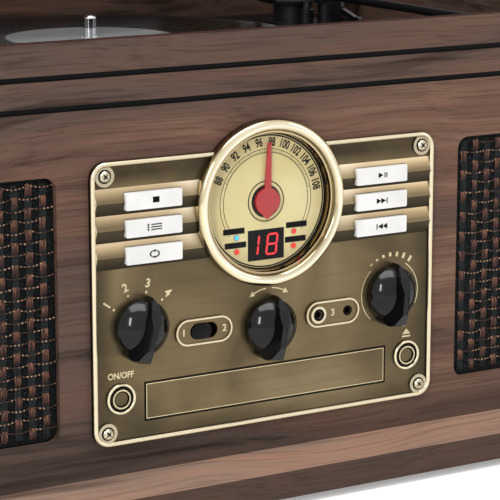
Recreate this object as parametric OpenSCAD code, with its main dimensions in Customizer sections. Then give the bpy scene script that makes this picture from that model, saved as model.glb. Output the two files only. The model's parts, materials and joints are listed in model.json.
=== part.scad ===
// Stereo music centre: wooden cabinet with a hinged lid, a belt-driven turntable,
// a radio dial, a disc tray and two speakers. Millimetres. +X is right, +Y is back, +Z is up.
// The origin is the centre of the cabinet's underside, between the feet.

/* [Cabinet] */
// Width of the wooden body
body_w = 460; // [450:1:480]
// Depth of the wooden body
body_d = 336; // [334:1:350]
// Height of the body from its underside to the rim
body_h = 242; // [241:1:250]
// Thickness of the front and side boards
board_t = 15; // [14:0.5:17]
// Thickness of the boards at the rim, where the deck plate is let in
rim_t = 7.5; // [6:0.5:10]
// Thickness of the rear board
rear_t = 12; // [10:0.5:14]
// Thickness of the base board
base_t = 12; // [9:0.5:13]
// How far the plinth moulding stands out from the boards
plinth_out = 9.5; // [6:0.5:13]
// Height of the upright face of the plinth moulding
plinth_face_h = 14.4; // [10:0.2:18]
// Height of the sloping top of the plinth moulding
plinth_slope_h = 10.5; // [6:0.5:14]
// Height of each foot
foot_h = 4; // [2:0.5:10]
// Radius of each foot
foot_r = 11; // [8:0.5:14]
// Number of grooves round the top rail
groove_count = 2; // [0:1:2]
// Drop of the first groove below the rim
groove_drop = 15.3; // [12:0.1:17]
// Distance from one groove to the next
groove_pitch = 15.1; // [12:0.1:17]
// Width of a groove
groove_w = 2.8; // [1.5:0.1:4]
// Depth of a groove
groove_depth = 2; // [1:0.25:4]

/* [Lid] */
// Height of the lid over the rim
lid_h = 45; // [40:1:60]
// Thickness of the lid's side walls
lid_wall = 12; // [9:0.5:14]
// Thickness of the lid's top board
lid_top_t = 10; // [6:0.5:14]
// Width of the chamfer round the lid's top
lid_chamfer = 5; // [2:0.5:7]
// Width of the finger groove in the lid's front edge
finger_w = 70; // [40:1:100]
// How far the lid stands open, in degrees from closed
lid_open = 62; // [50:1:64]
// Radius of the hinge knuckles
knuckle_r = 3.2; // [3:0.1:3.3]
// Radius of the hinge pins
hinge_pin_r = 1.2; // [1:0.1:1.6]
// Length of each hinge
hinge_len = 60; // [45:1:80]
// Distance of each hinge from the middle
hinge_x = 150; // [130:1:165]
// Radius of the arc of the lid stay
stay_r = 80; // [78:1:84]
// Width of the stay's strip
stay_w = 8; // [6:0.5:9]
// Thickness of the stay's strip
stay_t = 2; // [1.5:0.25:2.5]

/* [Speakers] */
// Distance of each speaker opening from the middle
speaker_inner = 117; // [115:1:122]
// Width of the wood outside each speaker opening
speaker_side = 27; // [25:0.5:32]
// Height of the speaker openings' bottom edge over the underside
speaker_rise = 47; // [45:0.5:50]
// Height of a speaker opening
speaker_h = 131; // [110:1:140]
// Corner radius of a speaker opening
speaker_r = 6.5; // [3:0.5:12]
// How far the cloth sits behind the face of the front board
cloth_inset = 3.5; // [2:0.5:6]
// Thickness of the cloth and its backing
cloth_t = 2.5; // [1.5:0.5:4]

/* [Control panel] */
// Width of the brass panel
panel_w = 200; // [198:1:206]
// Height of the brass panel
panel_h = 142.6; // [142:0.1:146]
// Height of the panel's bottom edge over the underside
panel_rise = 40.7; // [39:0.1:42]
// Corner radius of the panel
panel_r = 8.5; // [6:0.5:10]
// Height of the panel's field over the board
field_z = 1.4; // [1.2:0.1:2]
// Width of the bright lip round the panel
lip_w = 2.6; // [2:0.1:4]
// Height of the lip over the board
lip_z = 3.2; // [3:0.1:4]
// Distance of the corner screws from the middle
screw_x = 92.3; // [91.5:0.1:93]
// Distance of the corner screws from the panel's top and bottom edges
screw_inset = 7; // [6.8:0.1:8]
// Number of ridges beside the dial
ridge_count = 3; // [1:1:3]
// Distance from one ridge and key to the next
key_pitch = 13.45; // [12:0.05:13.6]
// Distance of the top keys' centre below the panel's top edge
key_drop = 20.2; // [20:0.1:23]
// Distance of the keys' centres from the middle
key_x = 66.5; // [66:0.1:68]
// Width of a key
key_w = 30.9; // [26:0.1:31.5]
// Height of a key
key_h = 8.7; // [7:0.1:9.2]
// Height of the keys' faces over the board
key_z = 4.4; // [4:0.1:6]
// Travel of a key
key_travel = 1.5; // [0.8:0.1:2]
// Clearance round a moving key, button or door
gap = 0.3; // [0.2:0.05:0.5]

/* [Dial] */
// Drop of the dial's centre below the panel's top edge
dial_drop = 28.3; // [28:0.1:29]
// Outer radius of the polished bezel
bezel_r = 42.6; // [42.4:0.1:44]
// Radius of the bezel's rounded ring
bezel_ring_r = 3.1; // [2.6:0.1:3.3]
// Radius of the dial that shows inside the bezel
dial_r = 34; // [33.5:0.1:34.4]
// Length of the pointer's needle from the dial's centre
needle_len = 30; // [26:0.5:31]
// Radius of the pointer's hub
hub_r = 7; // [5:0.5:7.5]
// Angle at which the pointer rests, clockwise from upright
pointer_rest = 2.5; // [-60:0.5:70]
// Width of the display window
display_w = 21; // [18:0.5:22]
// Height of the display window
display_h = 15.6; // [12:0.2:16]
// Drop of the display's centre below the dial's centre
display_drop = 22.3; // [20:0.1:22.6]
// Radius of the drum that the tuning cord turns
drum_r = 24; // [20:0.5:26]
// Radius of the tuning shaft where the cord runs
tuner_r = 4; // [3.6:0.2:5]
// Thickness of the tuning cord
cord_t = 0.9; // [0.6:0.1:1.2]

/* [Knobs and buttons] */
// Radius of the round body of a knob
knob_r = 14.3; // [12:0.1:15]
// Height of a knob's pointer bar
knob_h = 17; // [15:0.5:20]
// Distance of the outer knobs from the middle
knob_x = 73.7; // [73:0.1:75]
// Drop of the outer knobs below the panel's top edge
knob_drop = 83.8; // [82:0.1:84]
// Drop of the tuning knob below the panel's top edge
tuning_drop = 92.3; // [91:0.1:93]
// Drop of the oval plates below the panel's top edge
plate_drop = 90; // [89:0.1:91]
// Distance of the oval plates from the middle
plate_x = 38; // [37:0.1:39]
// Width of an oval plate
plate_w = 32; // [30:0.5:34]
// Height of an oval plate
plate_h = 13.5; // [12.5:0.1:14]
// Radius of the shafts behind the knobs
shaft_r = 3; // [2.6:0.1:3.2]
// Distance of the round buttons from the middle
button_x = 84.6; // [84:0.1:85]
// Drop of the round buttons below the panel's top edge
button_drop = 118.9; // [118:0.1:120]
// Radius of a round button
button_r = 5.7; // [5:0.1:6]
// Travel of a round button
button_travel = 2.5; // [1:0.5:3]
// Radius of the plug bores in the front sockets
jack_r = 1.8; // [1.75:0.05:1.9]
// Length of the plug bores in the front sockets
jack_len = 14; // [12:1:15]

/* [Disc player] */
// Width of the tray's door
door_w = 141; // [138:0.5:142]
// Height of the tray's door
door_h = 18.1; // [16:0.1:18.6]
// Drop of the door's centre below the panel's top edge
door_drop = 122.15; // [121.5:0.05:122.5]
// Width of the tray
tray_w = 136; // [134:1:137]
// Length of the tray behind the door
tray_len = 158; // [156:1:162]
// Thickness of the tray
tray_t = 8; // [6:0.5:9]
// Radius of the disc's seat in the tray
disc_seat_r = 60.5; // [60.2:0.1:62]
// How far the tray comes out
tray_travel = 132; // [130:1:136]

/* [Turntable] */
// Drop of the deck below the rim
deck_drop = 33; // [32:0.5:34]
// Thickness of the deck plate
deck_t = 3; // [2.5:0.5:4]
// Depth of the well that the platter runs in
well_depth = 5; // [4:0.5:6]
// Drop of the mat's top below the rim
mat_drop = 20.7; // [20:0.1:21]
// Thickness of the mat
mat_t = 2.3; // [1.8:0.1:3]
// Distance of the spindle to the left of the middle
spindle_left = 15; // [12:1:18]
// Radius of the platter
platter_r = 125; // [118:1:128]
// Radius of the spindle's thicker part, up to the top of the centre disc
bearing_r = 4.5; // [4.2:0.1:5]
// Radius of the spindle where it goes through a record
spindle_r = 3.6; // [3.55:0.01:3.62]
// Height of the spindle over the mat
spindle_h = 13.5; // [12:0.5:15]
// Radius of the grey disc at the middle of the mat
centre_r = 47; // [44:0.5:50]
// Radius of the belt ring under the platter
belt_ring_r = 51; // [48:0.5:54]
// Radius of the motor's pulley
pulley_r = 5; // [4:0.5:6]
// Distance of the motor from the spindle
motor_dist = 85; // [82:1:88]

/* [Tonearm] */
// Distance of the arm's pivot from the body's right face
arm_side = 55; // [53:1:57]
// Distance of the arm's pivot from the body's rear face
arm_back = 73; // [71:1:75]
// Drop of the arm tube's centre below the rim
arm_drop = 11; // [10.6:0.1:11.4]
// Distance of the stylus from the body's front face
stylus_front = 38; // [37:1:41]
// Radius of the arm tube
arm_tube_r = 2.5; // [2:0.1:2.7]
// Radius of the arm's base
arm_base_r = 18; // [16:0.5:18.5]
// Radius of the counterweight
weight_r = 11; // [9:0.5:12]

/* [Hidden] */
$fn = 72;

// A cutter runs past the faces it opens by this much
past = 1;
// Radial clearance of a shaft that runs in a bore
run = 0.05;
// Clearance of a seated piece from its seat
seat = 0.2;

// Cabinet places
front_y = -body_d / 2;
back_y = body_d / 2;
in_x = body_w / 2 - board_t;
in_front = front_y + board_t;
in_back = back_y - rear_t;
plinth_h = plinth_face_h + plinth_slope_h;
foot_x = body_w / 2 - 40;
foot_y = body_d / 2 - 38;
batten_w = 8;
batten_h = 12;

// Heights over the underside
panel_top = panel_rise + panel_h;
panel_mid = panel_rise + panel_h / 2;
dial_z = panel_top - dial_drop;
knob_z = panel_top - knob_drop;
tuning_z = panel_top - tuning_drop;
plate_z = panel_top - plate_drop;
button_z = panel_top - button_drop;
door_z = panel_top - door_drop;
deck_top = body_h - deck_drop;
mat_top = body_h - mat_drop;
arm_z = body_h - arm_drop;
well_top = deck_top - well_depth;
well_floor = well_top - deck_t;

// Openings in the front board
speaker_w = body_w / 2 - speaker_inner - speaker_side;
speaker_x = speaker_inner + speaker_w / 2;
speaker_z = speaker_rise + speaker_h / 2;
driver_r = speaker_w / 2 - 4;
driver_hole_r = driver_r - 6;
cutout_x = 86;
cutout_bottom = panel_rise + 6;
cutout_top = panel_top - 5.5;
dial_seat_r = dial_r + 3;
dial_face_z = -1.3;
dial_plate_t = 0.8;
lens_z = dial_face_z + 3.5;
lens_t = 1.2;
ring_r = 8;
ring_in_r = button_r + gap + 0.4;
ring_z = 3;

// Behind the panel, as depths from the face of the front board
board_depth = 24;
pcb_t = 1.6;
post_r = 3;
post_x = 80.5;
post_top = panel_top - 9.5;
post_bottom = panel_top - 95.3;
pot_r = 9;
pot_depth = 10;
shaft_end = 22;
drum_depth = 15.5;
drum_t = 3.4;
switch_t = 2.4;

// Turntable places
platter_x = -spindle_left;
centre_t = 0.8;
platter_top = mat_top - mat_t;
platter_bottom = deck_top - 1;
platter_skirt = 3;
platter_plate = 3;
belt_h = 4;
belt_t = 0.8;
belt_z = deck_top;
motor_angle = 215;
motor_x = platter_x + motor_dist * cos(motor_angle);
motor_y = motor_dist * sin(motor_angle);
motor_r = 16;
motor_h = 24;
motor_shaft_r = 1.5;
bush_r = 7;
bush_len = 18;

// Arm places
arm_x = body_w / 2 - arm_side;
arm_y = back_y - arm_back;
stylus_y = front_y + stylus_front;
arm_len = arm_y - stylus_y;
base_top = arm_z - 9;
yoke_r = 15;
ear_x = 7.8;
ear_t = 3;
arm_pin_r = 1.2;
hub_w = 13;
cue_r = 24;
cue_start = -145;
cue_end = -80;
cue_rod_angle = -100;
cue_rod_x = arm_x + cue_r * cos(cue_rod_angle);
cue_rod_y = arm_y + cue_r * sin(cue_rod_angle);
cue_front = 25;
cue_x = arm_x + 13;
cue_y = arm_y - cue_front;
cue_z = deck_top + 12;
rest_y = arm_y - 38;
latch_x = arm_x + 7.5;
latch_z = arm_z + 4.5;
speed_x = in_x - 29;
speed_y = front_y + 50;

// Lid and hinge places
axis_y = back_y + knuckle_r + 0.3;
leaf_t = 1.5;
leaf_h = 22;
lid_seat = 0.3;
stay_x = in_x - 15;
stay_end = 75.5;
stay_pin_angle = 73.5;
stay_pin_r = 2.5;
stay_rise = 18;

// ---- Shapes that repeat ----

// Puts a sketch drawn as seen from the front onto the board's face, with +Z outwards
module at_front(x, z) { translate([x, front_y, z]) rotate([90, 0, 0]) children(); }

// Extrudes a sketch of the (Y, Z) plane along X, centred on x
module across(x, t) { translate([x - t / 2, 0, 0]) rotate([90, 0, 90]) linear_extrude(t) children(); }

// Turns the closed lid's pieces to where it stands open
module opened() {
    translate([0, axis_y, body_h]) rotate([-lid_open, 0, 0]) translate([0, -axis_y, -body_h]) children();
}

module rounded_rect(w, h, r) {
    square([w - 2 * r, h], center = true);
    square([w, h - 2 * r], center = true);
    for (x = [-1, 1], y = [-1, 1]) translate([x * (w / 2 - r), y * (h / 2 - r)]) circle(r);
}

module stadium(w, h) {
    square([w - h, h], center = true);
    for (x = [-1, 1]) translate([x * (w - h) / 2, 0]) circle(h / 2);
}

module ring(r_out, r_in) {
    difference() {
        circle(r_out);
        circle(r_in);
    }
}

// A piece of a ring between two angles, each less than 180 degrees apart
module ring_part(r_out, r_in, a0, a1) {
    far = 2 * r_out;
    mid = (a0 + a1) / 2;
    intersection() {
        ring(r_out, r_in);
        polygon([
            [0, 0], far * [cos(a0), sin(a0)], far * [cos(mid), sin(mid)], far * [cos(a1), sin(a1)]
        ]);
    }
}

// The outline that a belt takes round two wheels, the second one along +X
module wrap(r1, r2, d) {
    a = acos((r1 - r2) / d);
    // The straight runs start just inside the circles, so that they cross and don't only touch
    k = 0.998;
    circle(r1);
    translate([d, 0]) circle(r2);
    polygon([
        k * r1 * [cos(a), sin(a)], [d, 0] + k * r2 * [cos(a), sin(a)],
        [d, 0] + k * r2 * [cos(a), -sin(a)], k * r1 * [cos(a), -sin(a)]
    ]);
}

module belt_loop(r1, r2, d, t, h) {
    linear_extrude(h) difference() {
        wrap(r1 + t, r2 + t, d);
        wrap(r1, r2, d);
    }
}

// Grooves across a board, as cutters
module groove_cutters(x, w, y, d) {
    if (groove_count > 0) for (g = [0 : groove_count - 1])
        translate([x, y, body_h - groove_drop - g * groove_pitch - groove_w]) cube([w, d, groove_w]);
}

// The space inside the rim, down to the ledge that the deck plate lies on
module rim_rebate() {
    w = body_w / 2 - rim_t;
    translate([-w, front_y + rim_t, deck_top - deck_t]) cube([2 * w, body_d - 2 * rim_t, body_h]);
}

// ---- Cabinet ----

module front_board() color("#5d4034") difference() {
    translate([-body_w / 2, front_y, 0]) cube([body_w, board_t, body_h]);
    groove_cutters(-body_w / 2 - past, body_w + 2 * past, front_y - past, groove_depth + past);
    rim_rebate();
    for (s = [-1, 1]) at_front(s * speaker_x, speaker_z) {
        translate([0, 0, -cloth_inset - cloth_t]) linear_extrude(cloth_inset + cloth_t + past)
            rounded_rect(speaker_w, speaker_h, speaker_r);
        translate([0, 0, -board_t - past]) cylinder(h = board_t + 2 * past, r = driver_hole_r);
    }
    translate([-cutout_x, front_y - past, cutout_bottom])
        cube([2 * cutout_x, board_t + 2 * past, cutout_top - cutout_bottom]);
    at_front(0, dial_z) translate([0, 0, -board_t - past])
        cylinder(h = board_t + 2 * past, r = dial_seat_r + 0.5);
    for (s = [-1, 1]) at_front(s * button_x, button_z)
        translate([0, 0, -board_t - past]) cylinder(h = board_t + 2 * past, r = button_r + 2.5);
    screw_places() translate([0, 0, -screw_len]) cylinder(h = screw_len + past, r = screw_r + run);
}

module cabinet_sides() color("#5a3d31") for (s = [-1, 1]) mirror([s < 0 ? 1 : 0, 0, 0]) difference() {
    union() {
        translate([in_x, in_front, 0]) cube([board_t, back_y - in_front, body_h]);
        translate([in_x - batten_w, in_front, deck_top - deck_t - batten_h])
            cube([batten_w, in_back - in_front, batten_h]);
    }
    groove_cutters(body_w / 2 - groove_depth, groove_depth + past, front_y, body_d + past);
    rim_rebate();
}

module rear_board() color("#4f362c") difference() {
    translate([-in_x, in_back, 0]) cube([2 * in_x, rear_t, body_h]);
    translate([0, back_y + past, rear_z]) rotate([90, 0, 0]) linear_extrude(rear_t + 2 * past)
        rounded_rect(rear_w - 16, rear_h - 16, 4);
    rim_rebate();
}

module base_board() color("#6b5344")
    translate([-in_x, in_front, 0]) cube([2 * in_x, in_back - in_front, base_t]);

// One moulding on three sides, mitred at the front corners
module plinth() color("#6f5446") difference() {
    intersection() {
        across(0, body_w + 3 * plinth_out) polygon([
            [front_y - plinth_out, 0], [back_y, 0], [back_y, plinth_h], [front_y, plinth_h],
            [front_y - plinth_out, plinth_face_h]
        ]);
        translate([0, back_y, 0]) rotate([90, 0, 0]) linear_extrude(body_d + 2 * plinth_out) polygon([
            [-body_w / 2 - plinth_out, 0], [body_w / 2 + plinth_out, 0],
            [body_w / 2 + plinth_out, plinth_face_h], [body_w / 2, plinth_h],
            [-body_w / 2, plinth_h], [-body_w / 2 - plinth_out, plinth_face_h]
        ]);
    }
    translate([-body_w / 2, front_y, -past]) cube([body_w, body_d + past, plinth_h + 2 * past]);
}

module feet() color("#191919") for (x = [-1, 1], y = [-1, 1])
    translate([x * foot_x, y * foot_y, -foot_h]) {
        cylinder(h = foot_h, r1 = foot_r - 1, r2 = foot_r);
    }

// ---- Lid, drawn closed and turned open ----

module lid() color("#5d4034") opened() difference() {
    intersection() {
        across(0, body_w) polygon([
            [front_y, body_h + lid_seat], [back_y, body_h + lid_seat], [back_y, body_h + lid_h],
            [front_y + lid_chamfer, body_h + lid_h], [front_y, body_h + lid_h - lid_chamfer]
        ]);
        translate([0, back_y, 0]) rotate([90, 0, 0]) linear_extrude(body_d) polygon([
            [-body_w / 2, body_h], [body_w / 2, body_h], [body_w / 2, body_h + lid_h - lid_chamfer],
            [body_w / 2 - lid_chamfer, body_h + lid_h], [-body_w / 2 + lid_chamfer, body_h + lid_h],
            [-body_w / 2, body_h + lid_h - lid_chamfer]
        ]);
    }
    translate([-body_w / 2 + lid_wall, front_y + lid_wall, body_h - past])
        cube([body_w - 2 * lid_wall, body_d - 2 * lid_wall, lid_h - lid_top_t + past]);
    translate([0, front_y - 2, body_h - finger_w / 3]) rotate([90, 0, 0])
        translate([0, 0, -lid_wall / 2 - 2]) cylinder(h = lid_wall / 2 + 2 + past, r = finger_w / 2);
}

// Knuckles of one hinge along X, as a list of which thirds they take
module knuckles(x, thirds) {
    third = hinge_len / 3;
    for (k = thirds) translate([x - hinge_len / 2 + k * third + seat, axis_y, body_h]) rotate([0, 90, 0])
        cylinder(h = third - 2 * seat, r = knuckle_r);
}

module leaf(x, z0, h) {
    translate([x - hinge_len / 2 + seat, back_y, z0]) cube([hinge_len - 2 * seat, leaf_t, h]);
}

// The web that joins a knuckle to its leaf, on one third of the hinge
module knuckle_web(x, k, z0, h) {
    third = hinge_len / 3;
    translate([x - hinge_len / 2 + k * third + seat, back_y, z0])
        cube([third - 2 * seat, knuckle_r + 0.3, h]);
}

module lid_hinge_leaves() color("#a88a4e") opened() for (s = [-1, 1]) difference() {
    union() {
        leaf(s * hinge_x, body_h + knuckle_r + 1.4, leaf_h);
        knuckles(s * hinge_x, [1]);
        translate([0, 0, body_h]) knuckle_web(s * hinge_x, 1, 0, knuckle_r + 1.6);
    }
    translate([s * hinge_x - hinge_len / 2 - past, axis_y, body_h]) rotate([0, 90, 0])
        cylinder(h = hinge_len + 2 * past, r = hinge_pin_r + run);
    leaf_screws(s * hinge_x, body_h + knuckle_r + 13);
}

module cabinet_hinge_leaves() color("#a88a4e") for (s = [-1, 1]) {
    difference() {
        union() {
            leaf(s * hinge_x, body_h - knuckle_r - 1.4 - leaf_h, leaf_h);
            knuckles(s * hinge_x, [0, 2]);
            for (k = [0, 2]) knuckle_web(s * hinge_x, k, body_h - knuckle_r - 1.6, knuckle_r + 1.6);
        }
        leaf_screws(s * hinge_x, body_h - knuckle_r - 13);
    }
    translate([s * hinge_x - hinge_len / 2, axis_y, body_h]) rotate([0, 90, 0])
        cylinder(h = hinge_len, r = hinge_pin_r);
}

// Screw holes through a hinge leaf
module leaf_screws(x, z) {
    for (k = [-1, 1]) translate([x + k * hinge_len / 3, back_y + leaf_t + past, z]) rotate([90, 0, 0])
        cylinder(h = leaf_t + 2 * past, r = 1.7);
}

// The (Y, Z) outline of the arc between two angles below the hinge line
module stay_arc(w, a0, a1) {
    translate([axis_y, body_h]) ring_part(stay_r + w / 2, stay_r - w / 2, 180 + a0, 180 + a1);
}

module lid_stay() color("#b9b9b4") opened() {
    across(stay_x, stay_t) {
        stay_arc(stay_w, 0, stay_end);
        translate([axis_y - stay_r - stay_w / 2, body_h]) square([stay_w, stay_rise]);
    }
    translate([stay_x, axis_y - stay_r, body_h + 12]) rotate([0, 90, 0])
        cylinder(h = body_w / 2 - lid_wall - stay_x, r = 3.5);
    translate([stay_x - stay_t / 2 - 2.5, axis_y - stay_r * cos(stay_pin_angle),
        body_h - stay_r * sin(stay_pin_angle)]) rotate([0, 90, 0])
        cylinder(h = stay_t + 5, r = stay_pin_r);
}

module stay_guide() color("#20201f") difference() {
    guide_x = stay_x - 3;
    translate([guide_x, axis_y - stay_r - 7, body_h - 13.2])
        cube([body_w / 2 - rim_t - guide_x, 14.4, 8.4]);
    across(stay_x, stay_t + 0.8) translate([axis_y, body_h])
        ring(stay_r + stay_w / 2 + 0.5, stay_r - stay_w / 2 - 0.5);
}

// ---- Turntable ----

module deck_plate() color("#1c1c1d") difference() {
    union() {
        translate([-body_w / 2 + rim_t + gap, front_y + rim_t + gap, deck_top - deck_t])
            cube([body_w - 2 * (rim_t + gap), body_d - 2 * (rim_t + gap), deck_t]);
        translate([platter_x, 0, well_floor]) cylinder(h = deck_top - well_floor + 1.2, r = platter_r + 6);
    }
    translate([platter_x, 0, well_top]) cylinder(h = well_depth + 2 + past, r = platter_r + 3);
    translate([platter_x, 0, well_floor - past]) cylinder(h = deck_t + 2 * past, r = bush_r + run);
    translate([motor_x, motor_y, well_floor - past]) cylinder(h = deck_t + 2 * past, r = 3.5);
    across(stay_x, stay_t + 6) translate([axis_y, body_h])
        ring(stay_r + stay_w / 2 + 1.5, stay_r - stay_w / 2 - 1.5);
    translate([speed_x, speed_y, deck_top - deck_t - past]) cylinder(h = deck_t + 2 * past, r = 2 + run);
}

module platter() color("#8d8f92") translate([platter_x, 0, 0]) rotate_extrude() polygon([
    [bearing_r, platter_top], [platter_r - 1.2, platter_top], [platter_r, platter_top - 1.2],
    [platter_r, platter_bottom], [platter_r - platter_skirt, platter_bottom],
    [platter_r - platter_skirt, platter_top - platter_plate],
    [belt_ring_r, platter_top - platter_plate], [belt_ring_r, platter_bottom],
    [belt_ring_r - 3, platter_bottom], [belt_ring_r - 3, platter_top - platter_plate],
    [12, platter_top - platter_plate], [10, well_top + 2], [bearing_r, well_top + 2]
]);

// A ribbed rubber mat with a raised rim
module platter_mat() color("#101011") translate([platter_x, 0, platter_top]) difference() {
    cylinder(h = mat_t, r = platter_r - 2.5);
    translate([0, 0, -past]) cylinder(h = mat_t + 2 * past, r = bearing_r + 0.1);
    for (r = [centre_r + 8 : 6 : platter_r - 12]) translate([0, 0, mat_t - 0.5])
        linear_extrude(past) ring(r + 2, r);
}

module centre_disc() color("#77797b") translate([platter_x, 0, mat_top]) difference() {
    cylinder(h = centre_t, r = centre_r);
    translate([0, 0, -past]) cylinder(h = 3, r = bearing_r + 0.1);
}

module spindle() color("#d8d8dc") translate([platter_x, 0, 0]) {
    top = mat_top + spindle_h;
    cap = 2.4;
    cap_ball = (spindle_r * spindle_r + cap * cap) / (2 * cap);
    foot = well_floor - bush_len + 2.3;
    translate([0, 0, foot]) cylinder(h = mat_top + centre_t - foot, r = bearing_r);
    translate([0, 0, mat_top]) cylinder(h = top - cap - mat_top, r = spindle_r);
    intersection() {
        translate([0, 0, top - cap_ball]) sphere(cap_ball);
        translate([0, 0, top - cap]) cylinder(h = cap + past, r = spindle_r);
    }
}

module bearing_bush() color("#a98f55") translate([platter_x, 0, well_floor - bush_len]) difference() {
    union() {
        cylinder(h = bush_len + deck_t, r = bush_r);
        translate([0, 0, bush_len + deck_t]) cylinder(h = 1.5, r = bush_r + 4);
    }
    translate([0, 0, 2]) cylinder(h = bush_len + deck_t + 2, r = bearing_r + run);
}

module drive_belt() color("#141414") translate([platter_x, 0, belt_z]) rotate(motor_angle)
    belt_loop(belt_ring_r + 0.1, pulley_r + 0.1, motor_dist, belt_t, belt_h);

module motor() color("#9a9b9d") translate([motor_x, motor_y, well_floor - motor_h]) difference() {
    union() {
        cylinder(h = motor_h - 3, r = motor_r);
        translate([0, 0, motor_h - 3]) linear_extrude(3) {
            circle(motor_r + 1);
            stadium(52, 12);
        }
    }
    translate([0, 0, 6]) cylinder(h = motor_h, r = motor_shaft_r + run);
}

module motor_pulley() color("#c9b27a") translate([motor_x, motor_y, 0]) {
    translate([0, 0, well_floor - motor_h + 8]) cylinder(h = motor_h, r = motor_shaft_r);
    translate([0, 0, belt_z - 1.5]) rotate_extrude() polygon([
        [0, 0], [pulley_r + 1.2, 0], [pulley_r + 1.2, 0.6], [pulley_r, 1.2], [pulley_r, belt_h + 1.8],
        [pulley_r + 1.2, belt_h + 2.4], [pulley_r + 1.2, belt_h + 3], [0, belt_h + 3]
    ]);
    translate([0, 0, well_floor]) cylinder(h = belt_z - well_floor, r = motor_shaft_r);
}

// ---- Tonearm ----

module arm_base() color("#1a1b1d") difference() {
    union() {
        translate([arm_x, arm_y, deck_top]) {
            cylinder(h = 3, r = arm_base_r);
            cylinder(h = base_top - deck_top, r = arm_base_r - 6);
        }
        translate([cue_rod_x, cue_rod_y, deck_top]) cylinder(h = 12, r = 4.5);
        translate([arm_x - 6, cue_y - 7, deck_top]) cube([24, cue_front + 7, 3]);
        translate([cue_x - 5, cue_y - 6, deck_top]) cube([9, 12, 18]);
    }
    translate([arm_x, arm_y, deck_top + 2]) cylinder(h = base_top, r = 4 + run);
    translate([cue_rod_x, cue_rod_y, deck_top - past]) cylinder(h = 20, r = 2 + run);
    translate([cue_x - 10, cue_y, cue_z]) rotate([0, 90, 0]) cylinder(h = 20, r = 2 + run);
}

module arm_yoke() color("#26272a") {
    translate([arm_x, arm_y, deck_top + 2.3]) cylinder(h = base_top - deck_top, r = 4);
    translate([arm_x, arm_y, base_top + 0.3]) cylinder(h = 3.2, r = yoke_r - 2);
    for (s = [-1, 1]) translate([arm_x + s * (ear_x + ear_t / 2), arm_y, base_top + 0.3])
        across_ear();
    translate([arm_x - ear_x - ear_t, arm_y, arm_z]) rotate([0, 90, 0])
        cylinder(h = 2 * (ear_x + ear_t), r = arm_pin_r);
}

// One upright ear with a round top
module across_ear() {
    h = arm_z - base_top - 0.3;
    across(0, ear_t) {
        translate([-5, 0]) square([10, h]);
        translate([0, h]) circle(5);
    }
}

module tonearm() color("#2b2c2e") difference() {
    union() {
        translate([arm_x, arm_y, arm_z]) {
            rotate([0, 90, 0]) cylinder(h = hub_w, r = 4.5, center = true);
            rotate([-90, 0, 0]) cylinder(h = 36, r = 2.2);
            rotate([90, 0, 0]) cylinder(h = arm_len - 16, r = arm_tube_r);
        }
    }
    translate([arm_x - hub_w, arm_y, arm_z]) rotate([0, 90, 0])
        cylinder(h = 2 * hub_w, r = arm_pin_r + run);
}

module headshell() color("#17181a") translate([arm_x, stylus_y, 0]) {
    shell_z = arm_z - 4;
    translate([0, 0, shell_z]) linear_extrude(3.2) polygon([
        [-4, 16], [4, 16], [9, 10], [9, -8], [7, -10], [-7, -10], [-9, -8], [-9, 10]
    ]);
    translate([0, 22, arm_z]) rotate([90, 0, 0]) difference() {
        cylinder(h = 8, r = arm_tube_r + 1.1);
        translate([0, 0, -past]) cylinder(h = 6 + past, r = arm_tube_r);
    }
    translate([8, -4, shell_z + 0.6]) cube([9, 3, 1.4]);
    translate([15, -4, shell_z + 0.6]) cube([2, 3, 3.4]);
}

module cartridge() color("#3a3b3e") translate([arm_x, stylus_y, 0]) {
    top = arm_z - 4;
    bottom = mat_top + 2.6;
    translate([-5.5, -7, bottom]) cube([11, 22, top - bottom]);
    translate([0, 0, mat_top + 1]) cylinder(h = bottom - mat_top - 1, r1 = 0.3, r2 = 1.4);
}

module counterweight() color("#b4b5b8") translate([arm_x, arm_y + 20, arm_z]) rotate([-90, 0, 0])
    difference() {
        union() {
            cylinder(h = 14, r = weight_r);
            translate([0, 0, -3]) cylinder(h = 17, r = weight_r - 3);
        }
        translate([0, 0, -5]) cylinder(h = 25, r = 2.2);
    }

// A round post with an L-shaped cradle, open towards the platter
module arm_rest() color("#151617") {
    translate([arm_x + 1, rest_y, deck_top]) cylinder(h = arm_z - 5 - deck_top, r = 5);
    shelf = arm_z - arm_tube_r - 0.3;
    translate([arm_x - 5, rest_y - 4, arm_z - 5]) cube([14, 8, shelf - arm_z + 5]);
    difference() {
        translate([arm_x + arm_tube_r + 0.4, rest_y - 4, shelf - 1]) cube([4.6, 8, latch_z - shelf - 1.1]);
        translate([latch_x, rest_y + 5, latch_z]) rotate([90, 0, 0]) cylinder(h = 10, r = 3.3);
    }
    for (y = [-4, 2.4]) translate([latch_x, rest_y + y + 1.6, latch_z]) rotate([90, 0, 0])
        cylinder(h = 1.6, r = 2.2);
    for (y = [-4, 2.4]) translate([arm_x + arm_tube_r + 2, rest_y + y, latch_z - 3]) cube([3.6, 1.6, 2.8]);
    translate([latch_x, rest_y + 4, latch_z]) rotate([90, 0, 0]) cylinder(h = 8, r = 1);
}

// The catch that hooks over the arm tube; it stands up when it is open
module arm_latch() color("#2a2b2d") translate([latch_x, rest_y, latch_z]) rotate([90, 0, 0]) difference() {
    linear_extrude(4.2, center = true) {
        circle(2.4);
        translate([-1.2, 0]) square([2.4, 14]);
        translate([-3.4, 12]) square([4.6, 2]);
    }
    cylinder(h = 6, r = 1 + run, center = true);
}

module cue_lever() color("#c2c3c5") translate([cue_x, cue_y, cue_z]) {
    translate([-4, 0, 0]) rotate([0, 90, 0]) cylinder(h = 9.5, r = 2);
    translate([4.3, 0, 0]) rotate([0, 90, 0]) cylinder(h = 3, r = 4.5);
    translate([4.3, 0, 0]) across(1.5, 3) {
        rotate(-165) translate([0, -1.6]) square([24, 3.2]);
        rotate(-165) translate([24, 0]) circle(2.6);
    }
}

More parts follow.
